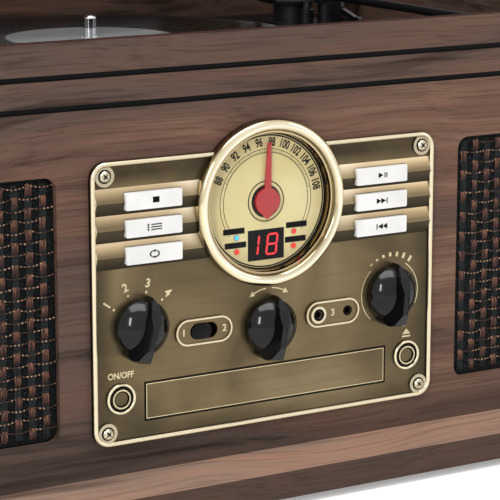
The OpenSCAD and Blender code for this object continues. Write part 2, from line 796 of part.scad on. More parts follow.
module cue_platform() color("#1e1f21") {
    top = arm_z - arm_tube_r - 0.4;
    translate([cue_rod_x, cue_rod_y, deck_top + 1]) cylinder(h = top - deck_top - 1.5, r = 2);
    translate([arm_x, arm_y, top - 2]) linear_extrude(2) ring_part(cue_r + 2, cue_r - 2, cue_start, cue_end);
}

module speed_lever() color("#c2c3c5") translate([speed_x, speed_y, deck_top - deck_t - 2]) {
    cylinder(h = deck_t + 3, r = 2);
    translate([0, 0, deck_t + 2.3]) cylinder(h = 2.2, r = 8);
    translate([0, 0, deck_t + 2.3]) linear_extrude(4) {
        circle(3.4);
        translate([-2, 0]) square([4, 15]);
        translate([0, 15]) circle(2);
    }
}

// ---- Brass panel ----

screw_r = 1.6;
screw_head_r = 2.75;
screw_len = 12;
screw_boss_r = 5.2;

// The four corner screw places, as seen from the front
module screw_places() {
    for (x = [-1, 1], z = [panel_rise + screw_inset, panel_top - screw_inset])
        at_front(x * screw_x, z) children();
}

// The rounded lip, swept along the panel's edge
module lip_section() {
    translate([-lip_w, 0]) square([lip_w, lip_z - lip_w / 2]);
    translate([-lip_w / 2, lip_z - lip_w / 2]) circle(lip_w / 2);
}

module panel_lip() {
    w = panel_w / 2;
    h = panel_h / 2;
    for (s = [0, 180]) rotate(s) {
        translate([0, -h, 0]) rotate([90, 0, 90]) translate([0, 0, -w + panel_r])
            linear_extrude(2 * (w - panel_r)) mirror([1, 0]) lip_section();
        translate([w, h - panel_r, 0]) rotate([90, 0, 0]) linear_extrude(2 * (h - panel_r)) lip_section();
        for (c = [[w - panel_r, h - panel_r, 0], [w - panel_r, panel_r - h, -90]])
            translate([c[0], c[1], 0]) rotate(c[2]) rotate_extrude(angle = 90) translate([panel_r, 0])
                lip_section();
    }
}

// One ridge: a long face that looks up and a steep face that looks down
module ridge(k) {
    top = panel_top - key_drop + key_pitch / 2 + 0.4 - k * key_pitch;
    rise = 1.9;
    across(0, panel_w - 2 * lip_w + 1) polygon([
        [front_y - field_z + 0.2, top], [front_y - field_z, top],
        [front_y - field_z - rise, top - key_pitch * 0.54], [front_y - field_z, top - key_pitch],
        [front_y - field_z + 0.2, top - key_pitch]
    ]);
}

module panel_openings() {
    at_front(0, dial_z) {
        translate([0, 0, -past]) cylinder(h = 20, r = dial_seat_r);
        translate([0, 0, field_z + 0.02]) cylinder(h = 20, r = bezel_r + 0.15);
    }
    for (s = [-1, 1], k = [0 : 2]) at_front(s * key_x, panel_top - key_drop - k * key_pitch)
        translate([0, 0, -past]) linear_extrude(10) rounded_rect(key_w + 2 * gap, key_h + 2 * gap, 0.9);
    at_front(0, door_z) translate([0, 0, -past]) linear_extrude(10)
        square([door_w + 4 * gap, door_h + 4 * gap], center = true);
    for (s = [-1, 1]) {
        at_front(s * knob_x, knob_z) translate([0, 0, -past]) cylinder(h = 10, r = shaft_r + 0.4);
        at_front(s * button_x, button_z) translate([0, 0, -past]) cylinder(h = 10, r = ring_in_r);
        at_front(s * plate_x, plate_z) translate([0, 0, -past]) linear_extrude(10)
            stadium(plate_w - 5, plate_h - 5);
    }
    at_front(0, tuning_z) translate([0, 0, -past]) cylinder(h = 10, r = shaft_r + 0.4);
    screw_places() translate([0, 0, -past]) cylinder(h = 10, r = screw_r + run);
}

module brass_panel() color("#8a7650") {
    difference() {
        union() {
            at_front(0, panel_mid) {
                linear_extrude(field_z)
                    rounded_rect(panel_w - lip_w, panel_h - lip_w, panel_r - lip_w / 2);
                panel_lip();
            }
            at_front(0, dial_z) cylinder(h = field_z - 0.1, r = bezel_r - 0.1);
            for (k = [0 : ridge_count - 1]) ridge(k);
            screw_places() cylinder(h = lip_z - 0.8, r = screw_boss_r);
            for (s = [-1, 1]) at_front(s * button_x, button_z) rotate_extrude() {
                square([ring_r, ring_z - 0.8]);
                translate([ring_r - 0.8, ring_z - 0.8]) circle(0.8);
            }
        }
        panel_openings();
    }
    for (s = [-1, 1], z = [post_bottom, post_top]) at_front(s * post_x, z)
        translate([0, 0, -board_depth]) cylinder(h = board_depth + 0.5, r = post_r);
}

// Cross-head screws with a slot each way
module panel_screws() color("#b8a06a") screw_places() difference() {
    union() {
        translate([0, 0, -screw_len + 1]) cylinder(h = screw_len + lip_z - 1.8, r = screw_r);
        translate([0, 0, lip_z - 0.8]) rotate_extrude() {
            square([screw_head_r, 0.6]);
            polygon([[0, 0.6], [screw_head_r, 0.6], [screw_head_r - 0.7, 1.3], [0, 1.3]]);
        }
    }
    for (a = [45, 135]) translate([0, 0, lip_z]) rotate(a) linear_extrude(2) square([3.4, 0.8], center = true);
}

// ---- Dial ----

// A flange with a rounded ring on it, and a sleeve through the panel that holds the dial down
module dial_bezel() color("#d9c48e") at_front(0, dial_z) rotate_extrude() difference() {
    under = field_z + 0.05;
    ring_mid_z = field_z + 2.5;
    sleeve_r = dial_seat_r - seat;
    union() {
        polygon([
            [dial_r + 0.2, dial_face_z + 0.05], [sleeve_r, dial_face_z + 0.05], [sleeve_r, under],
            [bezel_r, under], [bezel_r, ring_mid_z], [bezel_r - bezel_ring_r, ring_mid_z + bezel_ring_r],
            [bezel_r - 2 * bezel_ring_r, ring_mid_z], [dial_r + 1.6, ring_mid_z - 0.1]
        ]);
        intersection() {
            translate([bezel_r - bezel_ring_r, ring_mid_z]) circle(bezel_ring_r);
            translate([0, under + 0.3]) square([bezel_r + past, 2 * bezel_ring_r + past]);
        }
    }
    translate([dial_r, lens_z - 0.1]) square([dial_seat_r - seat - dial_r, lens_t + 0.2]);
}

module dial_lens() color("#ffffff", 0.25) at_front(0, dial_z) translate([0, 0, lens_z])
    cylinder(h = lens_t, r = dial_seat_r - 2 * seat);

module dial_plate() color("#efe0ac") at_front(0, dial_z) translate([0, 0, dial_face_z - dial_plate_t])
    difference() {
        cylinder(h = dial_plate_t, r = dial_seat_r - seat);
        translate([0, 0, -past]) cylinder(h = 3, r = 1.6);
        translate([0, -display_drop, -past]) linear_extrude(3)
            square([display_w + seat, display_h + seat], center = true);
    }

// The red pointer, its shaft and the drum behind the dial
module dial_pointer() color("#d3261f") at_front(0, dial_z) {
    rotate(-pointer_rest) {
        translate([0, 0, dial_face_z + 0.9]) linear_extrude(0.9) polygon([
            [-1.9, hub_r - 1], [1.9, hub_r - 1], [0.95, needle_len], [-0.95, needle_len]
        ]);
        translate([0, 0, dial_face_z + 0.5]) linear_extrude(1.6) {
            circle(hub_r);
            polygon([hub_r * [-sin(45), -cos(45)], [0, -hub_r * 1.3], hub_r * [sin(45), -cos(45)], [0, 0]]);
        }
    }
    translate([0, 0, -board_depth - pcb_t]) cylinder(h = board_depth + pcb_t + dial_face_z + 1, r = 1.5);
    translate([0, 0, -drum_depth - drum_t / 2]) rotate_extrude() polygon([
        [0, 0], [drum_r + 1.5, 0], [drum_r + 1.5, 0.6], [drum_r, 1], [drum_r, drum_t - 1],
        [drum_r + 1.5, drum_t - 0.6], [drum_r + 1.5, drum_t], [0, drum_t]
    ]);
}

module display_module() color("#0c0a0b") at_front(0, dial_z - display_drop)
    translate([0, 0, dial_face_z - 7]) linear_extrude(7.2) square([display_w, display_h], center = true);

// The endless cord that runs from the tuning shaft to the drum
module tuning_cord() color("#c9c4b6") at_front(0, dial_z) translate([0, 0, -drum_depth - cord_t / 2])
    rotate(-90) belt_loop(drum_r + run, tuner_r + run, dial_z - tuning_z, cord_t, cord_t);

// ---- Keys ----

key_depth = board_depth - switch_t - key_travel - gap;

// A white key: a rounded face, a flange that keeps it in, and a stem to its switch
module key(s, k) color("#f4f2ea") at_front(s * key_x, panel_top - key_drop - k * key_pitch) {
    translate([0, 0, -1.5]) linear_extrude(key_z + 1.5) rounded_rect(key_w, key_h, 0.8);
    translate([0, 0, -1.8]) linear_extrude(1.6) square([key_w + 2, key_h + 2], center = true);
    translate([0, 0, -key_depth]) cylinder(h = key_depth - 1, r = 2);
}

module stop_key() key(-1, 0);
module program_key() key(-1, 1);
module repeat_key() key(-1, 2);
module play_key() key(1, 0);
module next_key() key(1, 1);
module previous_key() key(1, 2);

// ---- Knobs ----

// A round domed body with a pointer bar: a sharp tip, a broad tail and a ridge along its top
module knob(x, z, turn, depth) at_front(x, z) rotate(-turn) {
    base = field_z + 0.6;
    dome_r = 16.5;
    dome_h = 12;
    translate([0, 0, base]) intersection() {
        cylinder(h = dome_h, r = knob_r);
        translate([0, 0, dome_h - dome_r]) sphere(dome_r);
    }
    translate([0, 0, base]) intersection() {
        linear_extrude(knob_h) polygon([
            [0, 16.2], [-1.8, 13.5], [-4.4, 3], [-6.6, -11], [-6.8, -14.2], [-5, -16], [0, -16.8],
            [5, -16], [6.8, -14.2], [6.6, -11], [4.4, 3], [1.8, 13.5]
        ]);
        rotate([90, 0, 90]) translate([0, 0, -10]) linear_extrude(20) polygon([
            [-17.4, 0], [17, 0], [15.8, 7], [10.5, 12.5], [0, knob_h], [-8.5, knob_h - 0.6], [-15, 12],
            [-17.4, 6]
        ]);
        rotate([90, 0, 0]) translate([0, 0, -20]) linear_extrude(40) polygon([
            [-8, 0], [8, 0], [7, 5], [1.6, knob_h - 1], [0, knob_h], [-1.6, knob_h - 1], [-7, 5]
        ]);
    }
    translate([0, 0, -depth]) cylinder(h = depth + base + 1, r = shaft_r);
}

module function_knob() color("#101113") knob(-knob_x, knob_z, 15, shaft_end);
module volume_knob() color("#101113") knob(knob_x, knob_z, 5, shaft_end);

module tuning_knob() color("#101113") {
    knob(0, tuning_z, 8, drum_depth - 1);
    at_front(0, tuning_z) translate([0, 0, -board_depth - pcb_t]) {
        cylinder(h = board_depth - drum_depth + pcb_t + 1, r = shaft_r);
        translate([0, 0, board_depth + pcb_t - drum_depth - drum_t / 2]) rotate_extrude() polygon([
            [0, 0], [tuner_r + 1, 0], [tuner_r + 1, 0.6], [tuner_r, 1], [tuner_r, drum_t - 1],
            [tuner_r + 1, drum_t - 0.6], [tuner_r + 1, drum_t], [0, drum_t]
        ]);
    }
}

// ---- Boards behind the panel, and the main board on the base ----

module circuit_boards() color("#1f5a3a") {
    difference() {
        union() {
            at_front(0, 0) translate([0, 0, -board_depth - pcb_t]) linear_extrude(pcb_t) {
                translate([-cutout_x, door_z + 20]) square([2 * cutout_x, panel_top - 3 - door_z - 20]);
                for (s = [-1, 1]) translate([s * button_x - 7.5, button_z - 8]) square([15, 26]);
            }
            for (s = [-1, 1]) {
                at_front(s * knob_x, knob_z) translate([0, 0, -board_depth])
                    cylinder(h = board_depth - pot_depth, r = pot_r);
                for (k = [0 : 2]) at_front(s * key_x, panel_top - key_drop - k * key_pitch)
                    translate([0, 0, -board_depth]) linear_extrude(switch_t) square([6, 6], center = true);
                at_front(s * button_x, button_z) translate([0, 0, -board_depth]) linear_extrude(6)
                    square([9, 9], center = true);
            }
            for (z = [dial_z, tuning_z]) at_front(0, z) translate([0, 0, -board_depth])
                cylinder(h = 4, r = shaft_r + 2);
        }
        for (s = [-1, 1]) at_front(s * knob_x, knob_z) translate([0, 0, -board_depth + 1])
            cylinder(h = board_depth, r = shaft_r + run);
        at_front(0, dial_z) translate([0, 0, -board_depth - 3]) cylinder(h = 10, r = 1.5 + run);
        at_front(0, tuning_z) translate([0, 0, -board_depth - 3]) cylinder(h = 10, r = shaft_r + run);
    }
    main_board();
}

// A board on four posts, with a finned heat sink, three capacitors and a flat chip
module main_board() {
    w = 160;
    d = 90;
    post_h = 8;
    fin_t = 2;
    fin_pitch = 7;
    fin_count = 8;
    translate([-w / 2, in_back - 21 - d, base_t]) {
        for (x = [10, w - 10], y = [10, d - 10]) translate([x, y, 0]) cylinder(h = post_h, r = 3);
        translate([0, 0, post_h]) cube([w, d, pcb_t]);
        translate([0, 0, post_h + pcb_t]) {
            translate([20, d - 15, 0]) {
                for (f = [0 : fin_count - 1]) translate([f * fin_pitch, 0, 0]) cube([fin_t, 12, 22]);
                cube([(fin_count - 1) * fin_pitch + fin_t, 12, 4]);
            }
            for (k = [0 : 2]) translate([w / 2 + 20 + 18 * k, d - 25, 0]) cylinder(h = 20, r = 6.5);
            translate([30, 20, 0]) cube([30, 24, 5]);
        }
    }
}

// ---- Oval plates: the slide switch on the left, the sockets on the right ----

slide_w = 11.6;
slide_h = 7.6;
slide_travel = 3;
slot_w = slide_w + slide_travel + 1;
slot_h = slide_h + 2 * gap;
slot_depth = 8;
socket_dx = 9.2;

module oval_plate() {
    linear_extrude(0.8) stadium(plate_w, plate_h);
    linear_extrude(1.6) difference() {
        stadium(plate_w, plate_h);
        stadium(plate_w - 1.8, plate_h - 1.8);
    }
    translate([0, 0, -field_z]) linear_extrude(field_z) stadium(plate_w - 5.6, plate_h - 5.6);
}

module oval_plates() color("#a8926a") {
    at_front(-plate_x, plate_z) translate([0, 0, field_z]) difference() {
        union() {
            oval_plate();
            translate([-12, -6, -board_depth + 8]) cube([24, 12, board_depth - 8 - field_z]);
        }
        translate([0, 0, -slot_depth]) linear_extrude(slot_depth + 4) stadium(slot_w, slot_h);
    }
    at_front(plate_x, plate_z) translate([0, 0, field_z]) difference() {
        union() {
            oval_plate();
            translate([-socket_dx, 0, 0]) cylinder(h = 2.4, r = 4.5);
            for (s = [-1, 1]) translate([s * socket_dx - 4, -4, -jack_len - 1])
                cube([8, 8, jack_len + 1 - field_z]);
        }
        for (s = [-1, 1]) translate([s * socket_dx, 0, -jack_len + 0.8]) cylinder(h = jack_len + 3, r = jack_r);
    }
}

module slide_knob() color("#0e0f10") at_front(-plate_x - slide_travel / 2, plate_z)
    translate([0, 0, field_z - slot_depth + gap]) intersection() {
        linear_extrude(slot_depth + 3) stadium(slide_w, slide_h);
        translate([0, 0, slot_depth + 2.2 - 15]) sphere(15);
    }

// ---- Round buttons ----

// A dished brass button with a flange behind the panel
module round_button(s) color("#9a8558") at_front(s * button_x, button_z) difference() {
    union() {
        translate([0, 0, -2]) cylinder(h = 4.6, r = button_r);
        translate([0, 0, -2.4]) cylinder(h = 2.2, r = button_r + 1.8);
        translate([0, 0, -board_depth + 6 + button_travel + gap])
            cylinder(h = board_depth - 7 - button_travel - gap, r = 2.4);
    }
    translate([0, 0, 2.6 + 15.3]) sphere(16.3);
}

module power_button() round_button(-1);
module open_button() round_button(1);

// ---- Disc player ----

drive_wall = 1.5;
drive_w = tray_w + 8;
tray_z = door_z - tray_t / 2;
drive_bottom = tray_z - 8;
drive_top = tray_z + tray_t + 10;
drive_len = tray_travel + 56;
small_seat_r = 41;
disc_y = front_y + 5 + disc_seat_r;

module tray_door() color("#8a7650") at_front(0, door_z) translate([0, 0, field_z - 2.6])
    linear_extrude(2.6) square([door_w, door_h], center = true);

module cd_tray() color("#18191b") difference() {
    translate([-tray_w / 2, front_y + 2.6 - field_z, tray_z]) cube([tray_w, tray_len, tray_t]);
    translate([0, disc_y, tray_z + tray_t - 2.5]) cylinder(h = 5, r = disc_seat_r);
    translate([0, disc_y, tray_z + tray_t - 3.5]) cylinder(h = 5, r = small_seat_r);
    translate([0, disc_y, tray_z - past]) linear_extrude(tray_t + 2 * past) {
        circle(18);
        translate([0, -20]) square([26, 40], center = true);
    }
}

// The fixed frame round the tray, with its rails, the turning hub and the legs to the base
module cd_drive() color("#8f9193") {
    difference() {
        translate([-drive_w / 2, front_y + board_t + 1, drive_bottom])
            cube([drive_w, drive_len, drive_top - drive_bottom]);
        translate([-drive_w / 2 + drive_wall, front_y, drive_bottom + drive_wall])
            cube([drive_w - 2 * drive_wall, drive_len + board_t + 1 - drive_wall,
                drive_top - drive_bottom - 2 * drive_wall]);
    }
    for (s = [-1, 1]) {
        translate([s * (drive_w / 2 - 3.5) - 2.5, front_y + board_t + 1, drive_bottom + 1])
            cube([5, drive_len, tray_z - gap - drive_bottom - 1]);
        for (y = [front_y + 40, front_y + drive_len - 20]) translate([s * 60, y, base_t])
            cylinder(h = drive_bottom - base_t + 0.5, r = 5);
    }
    translate([0, disc_y, drive_bottom + 1]) cylinder(h = tray_z - 1 - drive_bottom - 1, r = 13);
    translate([0, disc_y, drive_top - 4.5]) cylinder(h = 4, r = 15);
}

// ---- Speakers ----

module speaker_cloths() color("#1a1512") for (s = [-1, 1]) at_front(s * speaker_x, speaker_z)
    translate([0, 0, -cloth_inset - cloth_t]) linear_extrude(cloth_t)
        rounded_rect(speaker_w - 2 * seat, speaker_h - 2 * seat, speaker_r - seat);

// The magnet, the basket, the flange, the rubber surround and the cone, from behind to the front
module speaker_drivers() color("#26272a") for (s = [-1, 1]) at_front(s * speaker_x, speaker_z)
    translate([0, 0, -board_t]) difference() {
        magnet_r = driver_r - 14;
        rotate_extrude() polygon([
            [0, -34], [magnet_r, -34], [magnet_r, -24], [magnet_r - 9, -24],
            [driver_hole_r - 2, -6], [driver_hole_r - 2, -2.5], [driver_r, -2.5], [driver_r, 0],
            [driver_hole_r - 1, 0], [driver_hole_r - 3, 3], [driver_hole_r - 5, 0],
            [11, -12], [9, -9], [0, -7.5]
        ]);
        for (a = [0 : 90 : 270]) rotate(a + 45) translate([driver_r - 3.5, 0, -5]) cylinder(h = 8, r = 1.6);
    }

// ---- Rear panel and sockets ----

rear_w = 316;
rear_h = 150;
rear_z = 112;
rear_sheet = 2.5;
rca_r = 4.15;
rca_len = 9;
rca_pitch = 16;
rca_margin = 16;
rca_collar_t = 1;
rca_x = -110;
rca_z = 70;
inlet_x = 120;

// Puts a sketch onto the back of the rear board, with +Z outwards
module at_back(x, z) { translate([x, back_y, z]) rotate([-90, 0, 0]) children(); }

module rear_panel() color("#161616") difference() {
    at_back(0, rear_z) linear_extrude(rear_sheet) rounded_rect(rear_w, rear_h, 6);
    for (k = [-9 : 9], row = [0, 1]) at_back(k * 11, rear_z + 14 + 32 * row) translate([0, 0, -past])
        linear_extrude(rear_sheet + 2 * past) rounded_rect(4, 24, 1.9);
    for (k = [0 : 1], j = [0 : 1]) at_back(rca_x + k * rca_pitch, rca_z + j * rca_pitch)
        translate([0, 0, -past]) cylinder(h = 5, r = rca_r + gap);
    at_back(inlet_x, rca_z + 8) translate([0, 0, -past]) cylinder(h = 5, r = 5.5 + gap);
    for (x = [-1, 0, 1], z = [-1, 1]) at_back(x * (rear_w / 2 - 5), rear_z + z * (rear_h / 2 - 5))
        translate([0, 0, -past]) cylinder(h = 5, r = 1.8);
}

module rear_sockets() color("#c9c9c4") {
    at_back(rca_x + rca_pitch / 2, rca_z + rca_pitch / 2) translate([0, 0, -2]) linear_extrude(2)
        rounded_rect(rca_pitch + rca_margin + 4, rca_pitch + rca_margin, 2);
    for (k = [0 : 1], j = [0 : 1]) at_back(rca_x + k * rca_pitch, rca_z + j * rca_pitch) difference() {
        union() {
            translate([0, 0, -1]) cylinder(h = rca_len + 1 + rear_sheet, r = rca_r);
            translate([0, 0, rear_sheet]) cylinder(h = rca_collar_t, r = rca_r + 1.75);
        }
        translate([0, 0, rear_sheet]) cylinder(h = rca_len + past, r = 1.6);
    }
    at_back(inlet_x, rca_z + 8) difference() {
        union() {
            translate([0, 0, -12]) cylinder(h = 12 + rear_sheet + 1.5, r = 5.5);
            translate([0, 0, -2]) cylinder(h = 2, r = 8);
        }
        translate([0, 0, -8]) cylinder(h = 20, r = 2.75);
    }
}

front_board();
cabinet_sides();
rear_board();
base_board();
plinth();
feet();
deck_plate();
lid();
lid_hinge_leaves();
cabinet_hinge_leaves();
lid_stay();
stay_guide();
platter();
platter_mat();
centre_disc();
spindle();
bearing_bush();
drive_belt();
motor();
motor_pulley();
arm_base();
arm_yoke();
tonearm();
headshell();
cartridge();
counterweight();
arm_rest();
arm_latch();
cue_lever();
cue_platform();
speed_lever();
brass_panel();
panel_screws();
dial_bezel();
dial_lens();
dial_plate();
dial_pointer();
display_module();
stop_key();
program_key();
repeat_key();
play_key();
next_key();
previous_key();
function_knob();
volume_knob();
tuning_knob();
tuning_cord();
circuit_boards();
oval_plates();
slide_knob();
power_button();
open_button();
cd_tray();
tray_door();
cd_drive();
speaker_cloths();
speaker_drivers();
rear_panel();
rear_sockets();
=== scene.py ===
"""The looks of the stereo music centre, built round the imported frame. Metres, +X right, +Y back, +Z up."""
import json
import math

import bmesh
import bpy
from mathutils import Matrix, Vector


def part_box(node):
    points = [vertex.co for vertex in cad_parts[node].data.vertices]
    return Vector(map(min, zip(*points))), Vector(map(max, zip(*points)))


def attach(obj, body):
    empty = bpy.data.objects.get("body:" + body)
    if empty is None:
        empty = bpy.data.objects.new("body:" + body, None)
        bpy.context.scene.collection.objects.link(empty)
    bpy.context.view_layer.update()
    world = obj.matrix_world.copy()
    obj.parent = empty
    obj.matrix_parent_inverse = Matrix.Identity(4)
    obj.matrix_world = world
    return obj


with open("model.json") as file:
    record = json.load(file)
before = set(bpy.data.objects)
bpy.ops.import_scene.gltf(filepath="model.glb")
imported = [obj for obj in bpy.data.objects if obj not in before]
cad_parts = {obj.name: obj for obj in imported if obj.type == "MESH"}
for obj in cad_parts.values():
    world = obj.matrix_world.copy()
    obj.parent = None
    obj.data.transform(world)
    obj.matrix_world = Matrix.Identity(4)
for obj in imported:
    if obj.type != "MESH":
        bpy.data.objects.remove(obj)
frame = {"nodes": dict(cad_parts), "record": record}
NODES = frame["nodes"]
JOINT = {j["name"]: Vector(j["pos_m"]) for j in frame["record"]["behaviour"]["joints"]}
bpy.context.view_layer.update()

MM = 0.001


# ---- Places read from the frame ----

def middle(node):
    """The middle of a CAD node's box."""
    low, high = (Vector(corner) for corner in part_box(node))
    return (low + high) / 2


FRONT_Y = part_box("front_board")[0][1]
RIM_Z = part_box("front_board")[1][2]
FLOOR_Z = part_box("feet")[0][2]
DIAL = middle("dial_plate")
DIAL_FACE = FRONT_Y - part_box("dial_plate")[0][1]
PANEL_FIELD = 1.4 * MM
KEY_FACE = FRONT_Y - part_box("stop_key")[0][1]
PANEL_LOW, PANEL_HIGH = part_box("brass_panel")
SIDE_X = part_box("front_board")[1][0]
RIDGE_PITCH = (middle("stop_key").z - middle("repeat_key").z) / 2
RIDGES_HIGH = middle("stop_key").z + 7.1 * MM
RIDGES_LOW = RIDGES_HIGH - 3 * RIDGE_PITCH
DECK_MIDDLE = middle("platter")


# ---- Materials ----

def srgb(red, green, blue, alpha=1.0):
    """A colour as seen on a screen, 0 to 255, in the linear values that shaders take."""
    def linear(c):
        c /= 255
        return c / 12.92 if c <= 0.04045 else ((c + 0.055) / 1.055) ** 2.4
    return (linear(red), linear(green), linear(blue), alpha)


class Material:
    """A principled material whose nodes are added one by one."""

    def __init__(self, name, **settings):
        self.data = bpy.data.materials.new(name)
        self.data.use_nodes = True
        self.tree = self.data.node_tree
        self.shader = self.tree.nodes["Principled BSDF"]
        for socket, value in settings.items():
            self.put(self.shader.inputs[socket.replace("_", " ")], value)

    def put(self, socket, value):
        if isinstance(value, bpy.types.NodeSocket):
            self.tree.links.new(value, socket)
        else:
            socket.default_value = value

    def set(self, socket, value):
        self.put(self.shader.inputs[socket], value)

    def node(self, kind, inputs, output=0, **settings):
        made = self.tree.nodes.new(kind)
        for key, value in settings.items():
            setattr(made, key, value)
        for key, value in inputs.items():
            self.put(made.inputs[key], value)
        return made.outputs[output]

    def place(self, scale=(1, 1, 1), turn=(0, 0, 0)):
        """Position on the object, in metres, times a scale."""
        where = self.node("ShaderNodeTexCoord", {}, "Object")
        return self.node("ShaderNodeMapping", {"Vector": where, "Scale": scale, "Rotation": turn})

    def axis(self, name):
        where = self.node("ShaderNodeTexCoord", {}, "Object")
        return self.node("ShaderNodeSeparateXYZ", {"Vector": where}, name)

    def facing(self, name):
        """One part of the surface's own direction."""
        normal = self.node("ShaderNodeTexCoord", {}, "Normal")
        return self.node("ShaderNodeSeparateXYZ", {"Vector": normal}, name)

    def grey(self, value):
        return self.node("ShaderNodeCombineColor", {0: value, 1: value, 2: value})

    def out(self):
        """Distance out from the front board's face."""
        return self.math("SUBTRACT", FRONT_Y, self.axis("Y"))

    def noise(self, vector, scale=1.0, detail=4.0, roughness=0.5, distortion=0.0):
        values = {"Vector": vector, "Scale": scale, "Detail": detail,
                  "Roughness": roughness, "Distortion": distortion}
        return self.node("ShaderNodeTexNoise", values, "Fac")

    def math(self, kind, a, b=0.0, clamp=False):
        return self.node("ShaderNodeMath", {0: a, 1: b}, operation=kind, use_clamp=clamp)

    def step(self, value, low, high, out_low=0.0, out_high=1.0):
        """value carried from low..high to out_low..out_high, smoothly and with ends."""
        values = {"Value": value, "From Min": low, "From Max": high, "To Min": out_low, "To Max": out_high}
        return self.node("ShaderNodeMapRange", values, interpolation_type="SMOOTHSTEP")

    def ramp(self, factor, stops):
        made = self.tree.nodes.new("ShaderNodeValToRGB")
        bands = made.color_ramp.elements
        while len(bands) < len(stops):
            bands.new(0.5)
        for band, (at, colour) in zip(bands, stops):
            band.position = at
            band.color = colour
        self.put(made.inputs["Fac"], factor)
        return made.outputs["Color"]

    def mix(self, factor, a, b, blend="MIX"):
        made = self.tree.nodes.new("ShaderNodeMix")
        made.data_type = "RGBA"
        made.blend_type = blend
        for socket, value in ((0, factor), (6, a), (7, b)):
            self.put(made.inputs[socket], value)
        return made.outputs[2]

    def bump(self, height, strength=0.3, distance=0.2 * MM):
        values = {"Height": height, "Strength": strength, "Distance": distance}
        self.set("Normal", self.node("ShaderNodeBump", values))


WALNUT_DARK = srgb(52, 38, 32)
WALNUT_GREY = srgb(92, 75, 67)
WALNUT_MID = srgb(103, 78, 67)
WALNUT_RED = srgb(115, 85, 71)
WALNUT_PALE = srgb(135, 106, 89)
WALNUT_EDGE = srgb(52, 30, 25)
# Near black painted shade for the insides of the rail's grooves
GROOVE_SHADE = srgb(9, 8, 8)
GROOVES_START = 13 * MM
GROOVES_END = 36 * MM
FOIL = {"Specular_IOR_Level": 0.12}


def grain(m, along):
    """Broad curved figure with fine streaks along one axis, as a colour and a height."""
    bend = m.math("MULTIPLY", m.math("SUBTRACT", m.noise(m.place(), 4.0, 2, 0.4), 0.5), 0.045)
    shift = m.node("ShaderNodeCombineXYZ", {0: bend, 1: bend, 2: bend})
    bent = m.node("ShaderNodeVectorMath", {0: m.place(), 1: shift}, operation="ADD")

    def stretched(fine, long):
        scale = tuple(long if axis == along else fine for axis in "XYZ")
        return m.node("ShaderNodeMapping", {"Vector": bent, "Scale": scale})

    figure = m.noise(stretched(17, 2.6), 1.0, 4.0, 0.55, 1.6)
    hue = m.noise(stretched(9, 1.6), 1.0, 2.0, 0.5, 0.8)
    streak = m.noise(stretched(190, 4.0), 1.0, 5.0, 0.6, 0.4)
    pore = m.noise(stretched(900, 16.0), 1.0, 3.0, 0.6)
    mixed = m.math("ADD", m.math("MULTIPLY", figure, 0.68), m.math("MULTIPLY", streak, 0.32))
    grey = m.ramp(mixed, [(0.37, WALNUT_DARK), (0.46, WALNUT_GREY), (0.58, WALNUT_MID)])
    red = m.ramp(mixed, [(0.38, WALNUT_DARK), (0.45, WALNUT_MID), (0.53, WALNUT_RED), (0.63, WALNUT_PALE)])
    tone = m.mix(m.step(hue, 0.42, 0.58), grey, red)
    lines = m.step(pore, 0.34, 0.54, 0.7, 1.02)
    tone = m.mix(1.0, tone, m.grey(lines), "MULTIPLY")
    return tone, m.math("ADD", m.math("MULTIPLY", streak, 0.5), m.math("MULTIPLY", pore, 0.5))


def shaded_grooves(m, tone):
    """Painted shade, near black, inside the two grooves round the top rail."""
    from_front = m.math("SUBTRACT", m.axis("Y"), FRONT_Y)
    from_side = m.math("SUBTRACT", SIDE_X, m.math("ABSOLUTE", m.axis("X")))
    depth = m.math("MINIMUM", from_front, from_side)
    inside = m.math("MULTIPLY", m.step(depth, 0.1 * MM, 0.4 * MM), m.step(depth, 2.6 * MM, 2.3 * MM))
    z = m.axis("Z")
    rail = m.math("MULTIPLY", m.step(z, RIM_Z - GROOVES_END, RIM_Z - GROOVES_END + 1 * MM),
                  m.step(z, RIM_Z - GROOVES_START, RIM_Z - GROOVES_START - 1 * MM))
    return m.mix(m.math("MULTIPLY", inside, rail), tone, GROOVE_SHADE)


def beyond_sides(m):
    """1 beyond the body's sides, 0 within them."""
    return m.step(m.math("ABSOLUTE", m.axis("X")), SIDE_X - 0.2 * MM, SIDE_X + 0.2 * MM)


def walnut(name, along="X", sides=None, depth=1.0, grooved=False):
    """Printed walnut foil with a satin coat. sides is the grain's axis beyond the body's width. depth below 1
    darkens the whole colour as painted shade.
    """
    m = Material(name, **FOIL)
    tone, height = grain(m, along)
    if sides:
        other, _ = grain(m, sides)
        tone = m.mix(beyond_sides(m), tone, other)
    # Painted shade: a depth below 1 makes a darker copy of the walnut
    if depth != 1.0:
        tone = m.mix(1.0, tone, (depth, depth, depth, 1), "MULTIPLY")
    if grooved:
        top = m.math("MULTIPLY", m.step(m.facing("Z"), 0.6, 0.9),
                     m.step(m.axis("Z"), RIM_Z - 2 * MM, RIM_Z - 1 * MM))
        tone = m.mix(top, shaded_grooves(m, tone), WALNUT_EDGE)
        # Painted shade: the front board is darkened towards its bottom
        low = m.step(m.axis("Z"), 70 * MM, 30 * MM, 1.0, 0.66)
        tone = m.mix(1.0, tone, m.grey(low), "MULTIPLY")
    m.set("Base Color", tone)
    m.set("Roughness", m.step(m.facing("Z"), 0.6, 0.9, 0.45, 0.95))
    m.bump(height, 0.2, 0.12 * MM)
    return m.data


